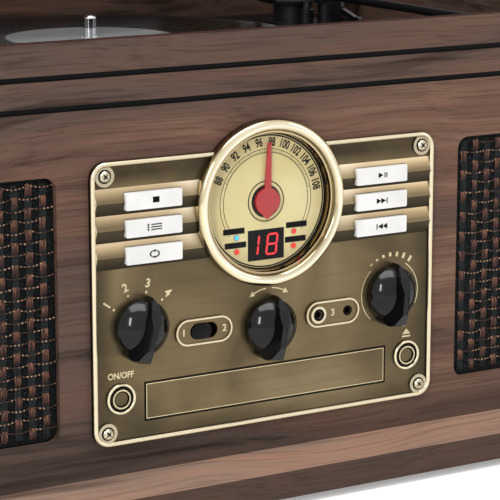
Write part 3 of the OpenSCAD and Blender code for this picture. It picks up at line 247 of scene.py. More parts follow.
def plinth_walnut(name):
    """Walnut with painted light: its sloping top is painted pale as if lit from above, and its upright face
    is painted darker as painted shade.
    """
    m = Material(name, Roughness=0.45, **FOIL)
    front, height = grain(m, "X")
    side, _ = grain(m, "Y")
    tone = m.mix(beyond_sides(m), front, side)
    painted_light_slope = m.step(m.facing("Z"), 0.2, 0.5)
    # Painted light on the upward slope, painted shade on the upright face
    tone = m.mix(1.0, tone, m.mix(painted_light_slope, (0.72, 0.72, 0.72, 1), (2.45, 2.42, 2.25, 1)), "MULTIPLY")
    m.set("Base Color", tone)
    m.bump(height, 0.2, 0.12 * MM)
    return m.data


def fibreboard(name):
    m = Material(name, Roughness=0.85)
    fleck = m.noise(m.place(), 900, 3, 0.7)
    m.set("Base Color", m.ramp(fleck, [(0.3, srgb(96, 72, 54)), (0.7, srgb(142, 112, 86))]))
    m.bump(fleck, 0.4, 0.3 * MM)
    return m.data


OLIVE_DARK = srgb(84, 73, 53)
OLIVE = srgb(112, 97, 70)
OLIVE_PALE = srgb(132, 116, 86)
OLIVE_SHADE = srgb(50, 42, 29)
BRASS_WORN_SHADED = srgb(136, 119, 86)
BRASS_RUBBED_LIT = srgb(230, 217, 186)
GAP_SHADE = srgb(22, 18, 11)
BEZEL_INNER = 34 * MM
BEZEL_WIDTH = 9 * MM


def aged_brass(name, proud_from=None, wear=1.0, panel=False):
    """Smooth olive brass, painted near black in its gaps as painted shade; what stands further out than
    proud_from is rubbed bright, its upper faces painted lighter and its lower faces darker as painted light.
    panel adds the ridges' painted light and shade and the painted shade of the panel's field."""
    m = Material(name, Metallic=0.82, Roughness=0.36)
    blotch = m.noise(m.place(), 16, 3, 0.5, 0.6)
    brushed = m.noise(m.place((14, 1, 420)), 1.0, 3, 0.6)
    base = m.ramp(blotch, [(0.32, OLIVE_DARK), (0.5, OLIVE), (0.7, OLIVE_PALE)])
    base = m.mix(m.step(brushed, 0.46, 0.72, 0.0, 0.22), base, OLIVE_DARK)
    if panel:
        # Painted shade on the field, then painted light and shade on the ridges
        base = ridge_light_and_shade(m, m.mix(panel_shade(m), base, OLIVE_SHADE))
    out = m.out()
    # Painted shade: upright faces down at the field are painted near black
    upright = m.step(m.math("ABSOLUTE", m.facing("Y")), 0.5, 0.2)
    shaded_walls = m.math("MULTIPLY", upright, m.step(out, PANEL_FIELD + 0.3 * MM, PANEL_FIELD - 0.1 * MM))
    base = m.mix(shaded_walls, base, GAP_SHADE)
    if proud_from is not None:
        proud = m.math("MULTIPLY", m.step(out, proud_from, proud_from + 0.7 * MM), wear)
        if panel:
            proud = m.math("MULTIPLY", proud, m.math("SUBTRACT", 1.0, on_ridges(m)))
        # Painted light: rubbed faces turned up and left are painted lighter, those turned down darker
        lit = m.math("SUBTRACT", m.facing("Z"), m.math("MULTIPLY", m.facing("X"), 0.35))
        base = m.mix(proud, base, m.mix(m.step(lit, -0.75, 0.15), BRASS_WORN_SHADED, BRASS_RUBBED_LIT))
        m.set("Roughness", m.math("SUBTRACT", 0.36, m.math("MULTIPLY", proud, 0.16)))
    m.set("Base Color", base)
    m.bump(brushed, 0.08, 0.04 * MM)
    return m.data


def panel_shade(m):
    """Painted shade on the panel's field: along the lip, in the band over the ridges and under the door."""
    x = m.math("ABSOLUTE", m.axis("X"))
    z = m.axis("Z")
    cloud = m.noise(m.place(), 26, 3, 0.55)
    beside = m.step(x, PANEL_HIGH[0] - 17 * MM, PANEL_HIGH[0] - 3 * MM, 0.0, 0.75)
    below = m.step(z, PANEL_LOW[2] + 15 * MM, PANEL_LOW[2] + 4 * MM, 0.0, 0.6)
    above = m.step(z, RIDGES_HIGH - 1 * MM, RIDGES_HIGH + 7 * MM, 0.0, 0.9)
    most = m.math("MAXIMUM", beside, m.math("MAXIMUM", below, above))
    return m.math("MULTIPLY", most, m.step(cloud, 0.3, 0.62, 0.62, 1.0))


def on_ridges(m):
    """1 on the ridges beside the dial, inside the panel's lip."""
    z = m.axis("Z")
    inside = m.step(m.math("ABSOLUTE", m.axis("X")), PANEL_HIGH[0] - 2.5 * MM, PANEL_HIGH[0] - 2.8 * MM)
    between = m.math("MULTIPLY", m.step(z, RIDGES_LOW, RIDGES_LOW + 0.2 * MM),
                     m.step(z, RIDGES_HIGH, RIDGES_HIGH - 0.2 * MM))
    return m.math("MULTIPLY", inside, between)


def ridge_light_and_shade(m, base):
    """Painted light and shade: each ridge is painted pale at its top edge as if lit from above and dims
    downwards to a painted dark underside; painted paler near the dial.
    """
    across = m.math("ABSOLUTE", m.axis("X"))
    near_dial = m.step(across, 60 * MM, 42 * MM, 0.0, 0.75)
    down = m.math("FRACT", m.math("DIVIDE", m.math("SUBTRACT", RIDGES_HIGH, m.axis("Z")), RIDGE_PITCH))
    streak = m.noise(m.place((9, 1, 60)), 1.0, 2, 0.5)
    down = m.math("ADD", down, m.step(streak, 0.3, 0.7, -0.07, 0.07))
    tan = m.ramp(down, [(0.02, srgb(214, 190, 152)), (0.2, srgb(176, 154, 118)), (0.44, srgb(120, 104, 77))])
    pale = m.ramp(down, [(0.02, srgb(250, 236, 210)), (0.3, srgb(206, 188, 154)), (0.5, srgb(160, 142, 110))])
    under = m.ramp(down, [(0.5, srgb(74, 65, 46)), (0.97, srgb(46, 39, 26))])
    up = m.facing("Z")
    ridges = on_ridges(m)
    base = m.mix(m.math("MULTIPLY", ridges, m.step(up, 0.08, 0.2)), base, m.mix(near_dial, tan, pale))
    return m.mix(m.math("MULTIPLY", ridges, m.step(up, -0.08, -0.2)), base, under)


def dial_radius(m):
    """Distance from the dial's axis."""
    x = m.math("SUBTRACT", m.axis("X"), DIAL.x)
    z = m.math("SUBTRACT", m.axis("Z"), DIAL.z)
    return m.math("SQRT", m.math("ADD", m.math("MULTIPLY", x, x), m.math("MULTIPLY", z, z)))


def bezel_brass(name):
    """Polished cream brass with painted light: a painted highlight on its crest, and painted shade in its
    inner wall, its valley and where it meets the panel.
    """
    m = Material(name, Metallic=1.0, Roughness=0.12)
    radius = dial_radius(m)
    cloud = m.noise(m.place(), 40, 3, 0.5)
    crest = m.ramp(cloud, [(0.3, srgb(206, 190, 154)), (0.7, srgb(244, 232, 204))])
    over = m.math("DIVIDE", m.math("SUBTRACT", radius, BEZEL_INNER), BEZEL_WIDTH)
    # Painted highlight and shade across the ring: pale on the crest, dark at the inner edge, in the valley
    # and at the outer foot
    rings = m.ramp(over, [
        (0.0, srgb(30, 24, 14)), (0.2, srgb(196, 176, 134)), (0.31, srgb(84, 68, 42)),
        (0.42, srgb(206, 188, 150)),
        (0.6, srgb(250, 243, 226)), (0.8, srgb(230, 212, 168)), (0.97, srgb(84, 70, 46))])
    base = m.mix(0.8, crest, rings)
    # Painted shade on the inner wall, black next to the dial
    wall = m.step(radius, 35.7 * MM, 35.3 * MM)
    wall_painted_shade = m.ramp(m.step(m.out(), -1.5 * MM, 4.0 * MM), [
        (0.0, srgb(10, 8, 5)), (0.3, srgb(40, 31, 18)), (0.62, srgb(132, 108, 70)),
        (0.95, srgb(222, 202, 160))])
    m.set("Base Color", m.mix(wall, base, wall_painted_shade))
    m.bump(cloud, 0.05, 0.1 * MM)
    return m.data


def darker(colour, share):
    return tuple(c * share for c in colour[:3]) + (1,)


def metal(name, colour, roughness, spread=0.06, scale=220.0):
    m = Material(name, Metallic=1.0)
    cloud = m.noise(m.place(), scale, 3, 0.6)
    m.set("Base Color", m.ramp(cloud, [(0.3, darker(colour, 0.82)), (0.7, colour)]))
    m.set("Roughness", m.step(cloud, 0.3, 0.7, roughness + spread, max(roughness - spread, 0.02)))
    return m.data


def lathe_rings(m, centre, scale, distortion):
    """Fine rings round a vertical axis."""
    shifted = m.node("ShaderNodeVectorMath", {0: m.place(), 1: (centre.x, centre.y, 0)}, operation="SUBTRACT")
    values = {"Vector": shifted, "Scale": scale, "Distortion": distortion}
    return m.node("ShaderNodeTexWave", values, "Fac", wave_type="RINGS", rings_direction="Z")


def turned_metal(name, colour, roughness, centre):
    m = Material(name, Metallic=1.0, Roughness=roughness, Anisotropic=0.5)
    rings = lathe_rings(m, centre, 420.0, 0.4)
    m.set("Base Color", m.mix(rings, darker(colour, 0.8), colour))
    m.bump(rings, 0.15, 0.05 * MM)
    return m.data


def plastic(name, colour, roughness, coat=0.0, texture=0.0, scale=1400.0, gloss=0.5):
    """Moulded plastic: a trace of uneven colour, and a fine texture if it is matt."""
    m = Material(name, Roughness=roughness, Coat_Weight=coat, Coat_Roughness=0.06, Specular_IOR_Level=gloss)
    cloud = m.noise(m.place(), 60, 3, 0.5)
    m.set("Base Color", m.ramp(cloud, [(0.3, darker(colour, 0.86)), (0.7, colour)]))
    if texture:
        m.bump(m.noise(m.place(), scale, 2, 0.5), texture, 0.06 * MM)
    return m.data


def record_black(name, centre):
    """Glossy black with rings so fine that they only spread the reflection."""
    m = Material(name, Roughness=0.2, Specular_IOR_Level=0.2)
    rings = lathe_rings(m, centre, 260.0, 0.0)
    m.set("Base Color", m.mix(rings, srgb(9, 9, 10), srgb(15, 15, 16)))
    m.bump(rings, 0.06, 0.04 * MM)
    return m.data


def dial_paint(name):
    """Cream in the middle, peach under the numbers, a little uneven."""
    m = Material(name, Roughness=0.5, Specular_IOR_Level=0.2)
    cloud = m.noise(m.place(), 45, 3, 0.5)
    middle_tone = m.ramp(cloud, [(0.3, srgb(238, 223, 160)), (0.7, srgb(250, 239, 186))])
    edge_tone = m.ramp(cloud, [(0.3, srgb(232, 213, 157)), (0.7, srgb(243, 227, 173))])
    m.set("Base Color", m.mix(m.step(dial_radius(m), 24 * MM, 30 * MM), middle_tone, edge_tone))
    return m.data


def cloth_black(name):
    """Open black and slate weave with a few pale fibres."""
    m = Material(name, Roughness=0.9, Specular_IOR_Level=0.1)
    m.set("Sheen Weight", 0.05)
    scale = 310.0
    warp = m.node("ShaderNodeTexWave", {"Vector": m.place((1, 0, 0)), "Scale": scale},
                  "Fac", bands_direction="X")
    weft = m.node("ShaderNodeTexWave", {"Vector": m.place((0, 0, 1)), "Scale": scale},
                  "Fac", bands_direction="Z")
    weave = m.math("MULTIPLY", warp, weft)
    fibre = m.noise(m.place(), 1500, 2, 0.7)
    pale = m.math("MULTIPLY", m.step(fibre, 0.54, 0.66), m.step(weave, 0.3, 0.8))
    m.set("Base Color", m.mix(pale, m.mix(weave, srgb(5, 5, 6), srgb(26, 30, 31)), srgb(84, 104, 104)))
    m.bump(weave, 0.9, 0.35 * MM)
    return m.data


def thread(name, dark, light):
    m = Material(name, Roughness=0.7, Specular_IOR_Level=0.2)
    m.set("Sheen Weight", 0.08)
    fibre = m.noise(m.place((900, 900, 220)), 1.0, 3, 0.6)
    m.set("Base Color", m.ramp(fibre, [(0.32, dark), (0.68, light)]))
    m.bump(fibre, 0.5, 0.1 * MM)
    return m.data


def copper_thread(name):
    """Dark strands side by side, their upward faces painted a lighter copper as painted light from above."""
    m = Material(name, Roughness=0.45, Specular_IOR_Level=0.3)
    strand = m.noise(m.place((1500, 900, 110)), 1.0, 3, 0.6)
    # Painted light: upward faces get the lighter copper
    proud = m.step(m.facing("Z"), -0.25, 0.5)
    lit = m.mix(proud, srgb(80, 46, 36), srgb(150, 102, 78))
    m.set("Base Color", m.mix(m.step(strand, 0.38, 0.6), srgb(30, 17, 14), lit))
    m.bump(strand, 0.5, 0.12 * MM)
    return m.data


def beaded_thread(name):
    """A dark cord with a wound pattern and a row of pale painted highlights along it."""
    m = Material(name, Roughness=0.5, Specular_IOR_Level=0.2)
    wound = m.node("ShaderNodeTexWave", {"Vector": m.place((1, 0, 0.55)), "Scale": 150.0, "Distortion": 2.5,
                                         "Detail": 2.0, "Detail Scale": 3.0}, "Fac", bands_direction="X")
    # Painted highlights: pale spots along the wound pattern
    painted_glint = m.math("MULTIPLY", m.step(wound, 0.62, 0.85), m.step(m.noise(m.place(), 210, 2, 0.5), 0.42, 0.6))
    m.set("Base Color", m.mix(painted_glint, srgb(44, 28, 23), srgb(182, 146, 118)))
    m.bump(wound, 0.6, 0.2 * MM)
    return m.data


def glow(name, colour, strength):
    """A lit lamp or segment under clear plastic."""
    m = Material(name, Roughness=0.3, Coat_Weight=0.3)
    cloud = m.noise(m.place(), 500, 2, 0.5)
    lit = m.ramp(cloud, [(0.3, darker(colour, 0.75)), (0.7, colour)])
    m.set("Base Color", lit)
    m.set("Emission Color", lit)
    m.set("Emission Strength", strength)
    return m.data


def clear(name, alpha):
    m = Material(name, Alpha=alpha, Base_Color=(0.1, 0.1, 0.1, 1), Specular_IOR_Level=0.25)
    smear = m.noise(m.place(), 90, 3, 0.5)
    m.set("Roughness", m.step(smear, 0.3, 0.7, 0.02, 0.06))
    return m.data


def circuit_green(name):
    """Green lacquer over copper tracks, on boards, posts and parts alike."""
    m = Material(name, Roughness=0.35)
    tracks = m.node("ShaderNodeTexBrick", {"Vector": m.place(), "Scale": 160.0, "Mortar Size": 0.03,
                                           "Color1": srgb(22, 84, 48), "Color2": srgb(16, 70, 40),
                                           "Mortar": srgb(58, 128, 72)})
    m.set("Base Color", tracks)
    return m.data


INK = plastic("ink_black", srgb(10, 8, 7), 0.6, gloss=0.1)
# Bright brass for the raised signs, and for painted highlights on the door's edge and the buttons' rims
RELIEF_AND_HIGHLIGHT = metal("relief_and_painted_highlight", srgb(214, 199, 162), 0.28)
FINISH = {
    "front_board": walnut("walnut_front", "X", sides="Y", grooved=True),
    "cabinet_sides": walnut("walnut_sides", "Y", grooved=True),
    # The rear board gets a darker copy of the walnut, painted shade
    "rear_board": walnut("walnut_rear_shaded", "X", depth=0.55),
    "plinth": plinth_walnut("walnut_plinth_lit_and_shaded"),
    "lid": walnut("walnut_lid", "X"),
    "base_board": fibreboard("fibreboard"),
    "feet": plastic("rubber_foot", srgb(26, 26, 26), 0.8, texture=0.3),
    "deck_plate": plastic("deck_black", srgb(20, 20, 21), 0.42, texture=0.35, gloss=0.25),
    "platter": turned_metal("platter_metal", srgb(150, 152, 155), 0.3, DECK_MIDDLE),
    "platter_mat": record_black("mat_black", DECK_MIDDLE),
    "centre_disc": plastic("disc_grey", srgb(118, 120, 122), 0.35, coat=0.2),
    "spindle": metal("spindle_chrome", srgb(226, 228, 232), 0.05, 0.02),
    "bearing_bush": metal("bush_brass", srgb(190, 160, 98), 0.3),
    "motor_pulley": metal("pulley_brass", srgb(200, 170, 104), 0.25),
    "drive_belt": plastic("belt_rubber", srgb(20, 20, 20), 0.7, texture=0.3),
    "motor": metal("motor_steel", srgb(150, 152, 154), 0.38),
    "counterweight": metal("weight_steel", srgb(188, 190, 194), 0.22),
    "tonearm": plastic("arm_lacquer", srgb(13, 13, 15), 0.62, gloss=0.15),
    "headshell": plastic("headshell_black", srgb(16, 16, 18), 0.35, texture=0.1, gloss=0.3),
    "cartridge": plastic("cartridge_grey", srgb(58, 60, 64), 0.4, texture=0.2),
    "cue_lever": plastic("lever_black", srgb(18, 18, 20), 0.3, gloss=0.4),
    "speed_lever": metal("lever_satin", srgb(200, 202, 205), 0.2, 0.04),
    "cue_platform": plastic("cue_rubber", srgb(24, 24, 25), 0.7, texture=0.3),
    "lid_hinge_leaves": metal("hinge_brass", srgb(196, 168, 104), 0.28),
    "lid_stay": metal("stay_steel", srgb(178, 180, 182), 0.3),
    "brass_panel": aged_brass("panel_brass", PANEL_FIELD + 0.6 * MM, panel=True),
    "tray_door": aged_brass("door_brass"),
    "oval_plates": aged_brass("plate_brass", PANEL_FIELD + 0.9 * MM, 0.9),
    "power_button": aged_brass("button_brass", PANEL_FIELD + 0.7 * MM, 0.5),
    "panel_screws": metal("screw_brass", srgb(204, 194, 168), 0.25, 0.06, 900),
    "dial_bezel": bezel_brass("bezel_brass"),
    "dial_lens": clear("lens_clear", 0.03),
    "dial_plate": dial_paint("dial_paint"),
    "dial_pointer": plastic("pointer_red", srgb(196, 8, 12), 0.16, coat=0.8),
    "display_module": plastic("display_black", srgb(8, 6, 6), 0.3, gloss=0.15),
    "stop_key": plastic("key_white", srgb(252, 251, 248), 0.3, coat=0.3),
    "function_knob": plastic("knob_black", srgb(7, 8, 10), 0.12, gloss=0.32),
    "tuning_cord": thread("cord_braid", srgb(150, 140, 118), srgb(200, 190, 166)),
    "circuit_boards": circuit_green("board_green"),
    "cd_drive": metal("zinc_sheet", srgb(150, 154, 158), 0.42),
    "speaker_cloths": plastic("cloth_backing", srgb(10, 9, 9), 0.9, texture=0.5, scale=900, gloss=0.1),
    "speaker_drivers": plastic("driver_black", srgb(30, 30, 32), 0.6, texture=0.3),
    "rear_panel": plastic("rear_black", srgb(26, 26, 27), 0.5, texture=0.4),
    "rear_sockets": metal("socket_nickel", srgb(200, 200, 196), 0.2),
}
SAME_FINISH = {
    "cabinet_hinge_leaves": "lid_hinge_leaves", "open_button": "power_button",
    "program_key": "stop_key", "repeat_key": "stop_key", "play_key": "stop_key",
    "next_key": "stop_key", "previous_key": "stop_key",
    "volume_knob": "function_knob", "tuning_knob": "function_knob", "slide_knob": "display_module",
    "arm_base": "deck_plate", "arm_yoke": "tonearm", "arm_rest": "headshell", "arm_latch": "headshell",
    "cd_tray": "deck_plate", "stay_guide": "deck_plate",
}


def dress_nodes():
    """Gives every CAD node its material."""
    for name, node in NODES.items():
        material = FINISH[SAME_FINISH.get(name, name)]
        node.data.materials.clear()
        node.data.materials.append(material)


# ---- Mesh building ----

def at_front(x, z, out=0.0):
    """Turns a drawing seen from the front (x right, y up, z outwards) into the object's frame."""
    turn = Matrix(((1, 0, 0), (0, 0, -1), (0, 1, 0))).to_4x4()
    return Matrix.Translation((x, FRONT_Y - out, z)) @ turn


class Piece:
    """A mesh built from prisms, arcs and text, then placed on a body."""

    def __init__(self, name):
        self.name = name
        self.bm = bmesh.new()

    def prism(self, outline, low, high, where=Matrix()):
        """A straight prism over an outline, between two heights."""
        count = len(outline)
        ring = [[self.bm.verts.new(where @ Vector((x, y, z))) for x, y in outline] for z in (low, high)]
        for k in range(count):
            n = (k + 1) % count
            self.bm.faces.new((ring[0][k], ring[0][n], ring[1][n], ring[1][k]))
        self.bm.faces.new(ring[1])
        self.bm.faces.new(ring[0][::-1])

    def arc(self, inner, outer, start, end, low, high, where=Matrix(), steps=64):
        """Part of a flat ring. Angles are clockwise from upright, in degrees; 360 apart closes it."""
        closed = abs(end - start) >= 360
        count = steps if closed else steps + 1
        rows = []
        for k in range(count):
            a = math.radians(start + (end - start) * k / steps)
            s, c = math.sin(a), math.cos(a)
            rows.append([self.bm.verts.new(where @ Vector((r * s, r * c, z)))
                         for r, z in ((inner, low), (outer, low), (outer, high), (inner, high))])
        for k in range(count if closed else count - 1):
            here, there = rows[k], rows[(k + 1) % count]
            for e in range(4):
                f = (e + 1) % 4
                self.bm.faces.new((here[e], here[f], there[f], there[e]))
        if not closed:
            self.bm.faces.new(rows[0])
            self.bm.faces.new(rows[-1][::-1])

    def text(self, words, size, low, high, where, squeeze=1.0, bold=0.0):
        """Plain figures, centred, standing from low to high; bold widens each stroke by that much."""
        curve = bpy.data.curves.new("figures", "FONT")
        curve.body = words
        curve.size = size
        curve.align_x = "CENTER"
        curve.align_y = "CENTER"
        curve.extrude = (high - low) / 2
        curve.offset = bold
        curve.resolution_u = 4
        holder = bpy.data.objects.new("figures", curve)
        bpy.context.collection.objects.link(holder)
        shape = bpy.data.meshes.new_from_object(holder.evaluated_get(bpy.context.evaluated_depsgraph_get()))
        lift = Matrix.Translation((0, 0, (low + high) / 2)) @ Matrix.Diagonal((squeeze, 1, 1, 1))
        shape.transform(where @ lift)
        self.bm.from_mesh(shape)
        bpy.data.objects.remove(holder)
        bpy.data.curves.remove(curve)
        bpy.data.meshes.remove(shape)

    def done(self, body, slot, material, smooth=False):
        bmesh.ops.recalc_face_normals(self.bm, faces=self.bm.faces)
        shape = bpy.data.meshes.new(self.name)
        self.bm.to_mesh(shape)
        self.bm.free()
        for face in shape.polygons:
            face.use_smooth = smooth
        shape.materials.append(material)
        made = bpy.data.objects.new(self.name, shape)
        bpy.context.collection.objects.link(made)
        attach(made, body)
        return made


def box_outline(width, height, x=0.0, y=0.0):
    return [(x - width / 2, y - height / 2), (x + width / 2, y - height / 2),
            (x + width / 2, y + height / 2), (x - width / 2, y + height / 2)]


def around(where, radius, degrees):
    """A place on a circle, clockwise from upright, with its drawing turned to stand on the circle."""
    return where @ Matrix.Rotation(-math.radians(degrees), 4, "Z") @ Matrix.Translation((0, radius, 0))


# ---- The dial ----

DIAL_AT = at_front(DIAL.x, DIAL.z)
PRINT = 0.08 * MM
STATIONS = 11
STATION_START = -65
STATION_STEP = 14.3
FIRST_STATION = 88
TICKS_PER_STEP = 5
TICK_RADIUS = 24.7


def dial_print():
    """Rings, ticks and station numbers."""
    p = Piece("dial_print")
    low, high = DIAL_FACE, DIAL_FACE + PRINT
    for radius in (26.6, TICK_RADIUS):
        p.arc((radius - 0.14) * MM, (radius + 0.14) * MM, -128, 128, low, high, DIAL_AT, 120)
    p.arc(10.0 * MM, 10.55 * MM, 0, 360, low, high, DIAL_AT, 72)
    p.arc(33.2 * MM, 33.9 * MM, 0, 360, low, high, DIAL_AT, 120)
    for k in range(STATIONS):
        degrees = STATION_START + STATION_STEP * k
        for part in range(TICKS_PER_STEP if k < STATIONS - 1 else 1):
            length = (1.9 if part == 0 else 0.9) * MM
            tick = degrees + part * STATION_STEP / TICKS_PER_STEP
            p.prism(box_outline(0.24 * MM, length), low, high,
                    around(DIAL_AT, TICK_RADIUS * MM + length / 2, tick))
        p.text(str(FIRST_STATION + 2 * k), 6.2 * MM, low, high, around(DIAL_AT, 30.0 * MM, degrees),
               0.66, 0.16 * MM)
    p.done("cabinet", "display_black", INK)


def hub_hollow_shade():
    """A flat black ring on the dial face, painted shade for the hollow round the pointer's hub."""
    p = Piece("hub_hollow_shade")
    p.arc(1.7 * MM, 8.4 * MM, 0, 360, DIAL_FACE, DIAL_FACE + 0.25 * MM, DIAL_AT, 72)
    p.done("cabinet", "display_black", plastic("hub_shade_black", srgb(14, 10, 9), 0.6))


SEGMENTS = {"1": "bc", "8": "abcdefg"}
DIGIT_W = 5.6 * MM
DIGIT_H = 10.2 * MM
SEGMENT_T = 1.0 * MM
SEGMENT_GAP = 0.35 * MM
SLANT = 0.12


def digit(p, name, centre_x, where, low, high):
    """Seven-segment figure: each segment is a bar with pointed ends."""
    half_w, half_h = DIGIT_W / 2, DIGIT_H / 2
    bars = {
        "a": (0, half_h, 0), "g": (0, 0, 0), "d": (0, -half_h, 0),
        "b": (half_w, half_h / 2, 90), "c": (half_w, -half_h / 2, 90),
        "f": (-half_w, half_h / 2, 90), "e": (-half_w, -half_h / 2, 90),
    }
    for letter in SEGMENTS[name]:
        x, y, turn = bars[letter]
        length = (half_h if turn else DIGIT_W) - SEGMENT_GAP
        t, l = SEGMENT_T / 2, length / 2
        outline = [(-l, 0), (-l + t, -t), (l - t, -t), (l, 0), (l - t, t), (-l + t, t)]
        c, s = math.cos(math.radians(turn)), math.sin(math.radians(turn))
        placed = [(x + c * px - s * py, y + s * px + c * py) for px, py in outline]
        p.prism([(centre_x + px + SLANT * py, py) for px, py in placed], low, high, where)


def display_figures():
    centre = middle("display_module")
    face = FRONT_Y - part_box("display_module")[0][1]
    where = at_front(centre.x, centre.z)
    lit = Piece("display_digits")
    for name, x in (("1", -7.4 * MM), ("8", 3.4 * MM)):
        digit(lit, name, x, where, face, face + 0.12 * MM)
    lit.done("cabinet", "display_black", glow("segment_red", srgb(232, 40, 52), 1.1))


# Each lamp's place from the dial's centre, its tag's shift sideways, and its colour
LAMPS = [(-17.3, -17.2, -1.4, "blue"), (-17.1, -24.4, -0.7, "red"),
         (16.4, -17.1, 1.6, "red"), (16.2, -24.6, 1.2, "red")]
TAG_W, TAG_H = 12.4 * MM, 3.0 * MM
TAG_UP = 3.35 * MM
LAMP_R = 1.25 * MM


def lamps():
    """Four small lamps, each below a blank black tag."""
    tags = Piece("lamp_tags")
    light = {"blue": Piece("lamp_blue"), "red": Piece("lamps_red")}
    rims = Piece("lamp_rims")
    for x, z, tag_x, colour in LAMPS:
        where = at_front(DIAL.x + x * MM, DIAL.z + z * MM)
        tag_at = where @ Matrix.Translation((tag_x * MM, TAG_UP, 0))
        tags.prism(box_outline(TAG_W, TAG_H), DIAL_FACE, DIAL_FACE + PRINT, tag_at)
        light[colour].arc(0.05 * MM, LAMP_R, 0, 360, DIAL_FACE, DIAL_FACE + 0.5 * MM, where, 24)
        rims.arc(LAMP_R, LAMP_R + 0.25 * MM, 0, 360, DIAL_FACE, DIAL_FACE + 0.3 * MM, where, 24)
    tags.done("cabinet", "display_black", INK)
    light["blue"].done("cabinet", "display_black", glow("lamp_blue", srgb(60, 180, 230), 1.0))
    light["red"].done("cabinet", "display_black", glow("lamp_red", srgb(240, 44, 40), 1.0))
    rims.done("cabinet", "display_black", plastic("lamp_rim", srgb(150, 90, 70), 0.4))


# ---- Signs on the keys ----

def arrow(p, x, size, towards, where, low, high):
    half = size / 2
    outline = [(x - towards * half, -half), (x + towards * half, 0), (x - towards * half, half)]
    p.prism(outline, low, high, where)


def bar(p, x, width, height, where, low, high, y=0.0):
    p.prism(box_outline(width, height, x, y), low, high, where)


def key_signs():
    """Plain transport signs, printed on the key faces."""
    low, high = KEY_FACE, KEY_FACE + PRINT
    size = 2.9 * MM

    def sign(key):
        centre = middle(key)
        return Piece(key.replace("_key", "_sign")), at_front(centre.x, centre.z)

    p, at = sign("stop_key")
    bar(p, 1.0 * MM, 3.6 * MM, 2.9 * MM, at, low, high)
    p.done("stop_key", "key_white", INK)

    p, at = sign("program_key")
    for row in (-1, 0, 1):
        bar(p, 1.2 * MM, 6.0 * MM, 0.55 * MM, at, low, high, row * 1.25 * MM)
        bar(p, -3.4 * MM, 0.9 * MM, 0.9 * MM, at, low, high, row * 1.25 * MM)
    p.done("program_key", "key_white", INK)

    p, at = sign("repeat_key")
    loop = at @ Matrix.Diagonal((1.5, 1, 1, 1))
    p.arc(1.35 * MM, 1.85 * MM, 30, 200, low, high, loop, 24)
    p.arc(1.35 * MM, 1.85 * MM, 210, 380, low, high, loop, 24)
    arrow(p, 0.5 * MM, 1.5 * MM, 1, at @ Matrix.Translation((0, 1.6 * MM, 0)), low, high)
    arrow(p, -0.5 * MM, 1.5 * MM, -1, at @ Matrix.Translation((0, -1.6 * MM, 0)), low, high)
    p.done("repeat_key", "key_white", INK)

    p, at = sign("play_key")
    arrow(p, -0.9 * MM, size, 1, at, low, high)
    for x in (1.5, 2.7):
        bar(p, x * MM, 0.6 * MM, 2.6 * MM, at, low, high)
    p.done("play_key", "key_white", INK)

    for key, way in (("next_key", 1), ("previous_key", -1)):
        p, at = sign(key)
        for x in (-1.9, 0.9):
            arrow(p, way * x * MM, size, way, at, low, high)
        bar(p, way * 3.0 * MM, 0.6 * MM, 2.8 * MM, at, low, high)
        p.done(key, "key_white", INK)


# ---- Raised signs on the panel ----

FUNCTIONS = 4
FUNCTION_START = -54
FUNCTION_STEP = 33
TUNING_ARC = (19.4 * MM, 20.0 * MM)
VOLUME_ARC = (17.3 * MM, 17.8 * MM)
VOLUME_BARS = 7


def panel_relief():
    """Numbers, dots, arcs and plain signs cast on the brass."""
    low, high = PANEL_FIELD - 0.05 * MM, PANEL_FIELD + 0.3 * MM
    p = Piece("panel_relief")
    function = at_front(JOINT["function_turn"].x, JOINT["function_turn"].z)
    for k in range(FUNCTIONS):
        degrees = FUNCTION_START + FUNCTION_STEP * k
        p.arc(0.02 * MM, 0.65 * MM, 0, 360, low, high, around(function, 17.6 * MM, degrees), 16)
        p.text(str(k + 1), 6.0 * MM, low, high, around(function, 22.0 * MM, degrees), 0.95, 0.18 * MM)

    tuning = at_front(JOINT["tuning_turn"].x, JOINT["tuning_turn"].z)
    p.arc(*TUNING_ARC, -27, -5, low, high, tuning, 16)
    p.arc(*TUNING_ARC, 5, 27, low, high, tuning, 16)
    for way in (-1, 1):
        arrow(p, 0, 3.0 * MM, way, around(tuning, 19.7 * MM, way * 31), low, high)

    volume = at_front(JOINT["volume_turn"].x, JOINT["volume_turn"].z)
    p.arc(*VOLUME_ARC, 33, 115, low, high, volume, 48)
    p.arc(*VOLUME_ARC, -137, -43, low, high, volume, 48)
    for k in range(VOLUME_BARS):
        degrees = -36 + 12 * k
        tall = (0.8 + 0.42 * k) * MM
        p.prism(box_outline(1.5 * MM, tall), low, high, around(volume, 19.4 * MM + tall / 2, degrees))

    power = at_front(JOINT["power_press"].x, JOINT["power_press"].z)
    p.text("ON/OFF", 4.4 * MM, low, high, power @ Matrix.Translation((0, 11.8 * MM, 0)), 0.9, 0.13 * MM)

    tray = at_front(JOINT["open_press"].x, JOINT["open_press"].z)
    sign = tray @ Matrix.Translation((0, 11.4 * MM, 0))
    half = 2.6 * MM
    p.prism([(-half, 0), (half, 0), (0, 3.0 * MM)], low, high, sign)
    bar(p, 0, 2 * half, 0.8 * MM, sign, low, high, -1.2 * MM)
    p.done("cabinet", "panel_brass", RELIEF_AND_HIGHLIGHT)


def plate_signs():
    """Numbers at the ends of the slide switch's plate, and between the two sockets."""
    low, high = PANEL_FIELD + 0.75 * MM, PANEL_FIELD + 1.1 * MM
    plate_x, plate_z = JOINT["slide_move"].x, JOINT["slide_move"].z
    aside = 11.6 * MM
    p = Piece("plate_signs")
    for figure, x in (("1", plate_x - aside), ("2", plate_x + aside), ("3", -plate_x)):
        p.text(figure, 5.0 * MM, low, high, at_front(x, plate_z), 0.95, 0.16 * MM)
    p.done("cabinet", "plate_brass", RELIEF_AND_HIGHLIGHT)


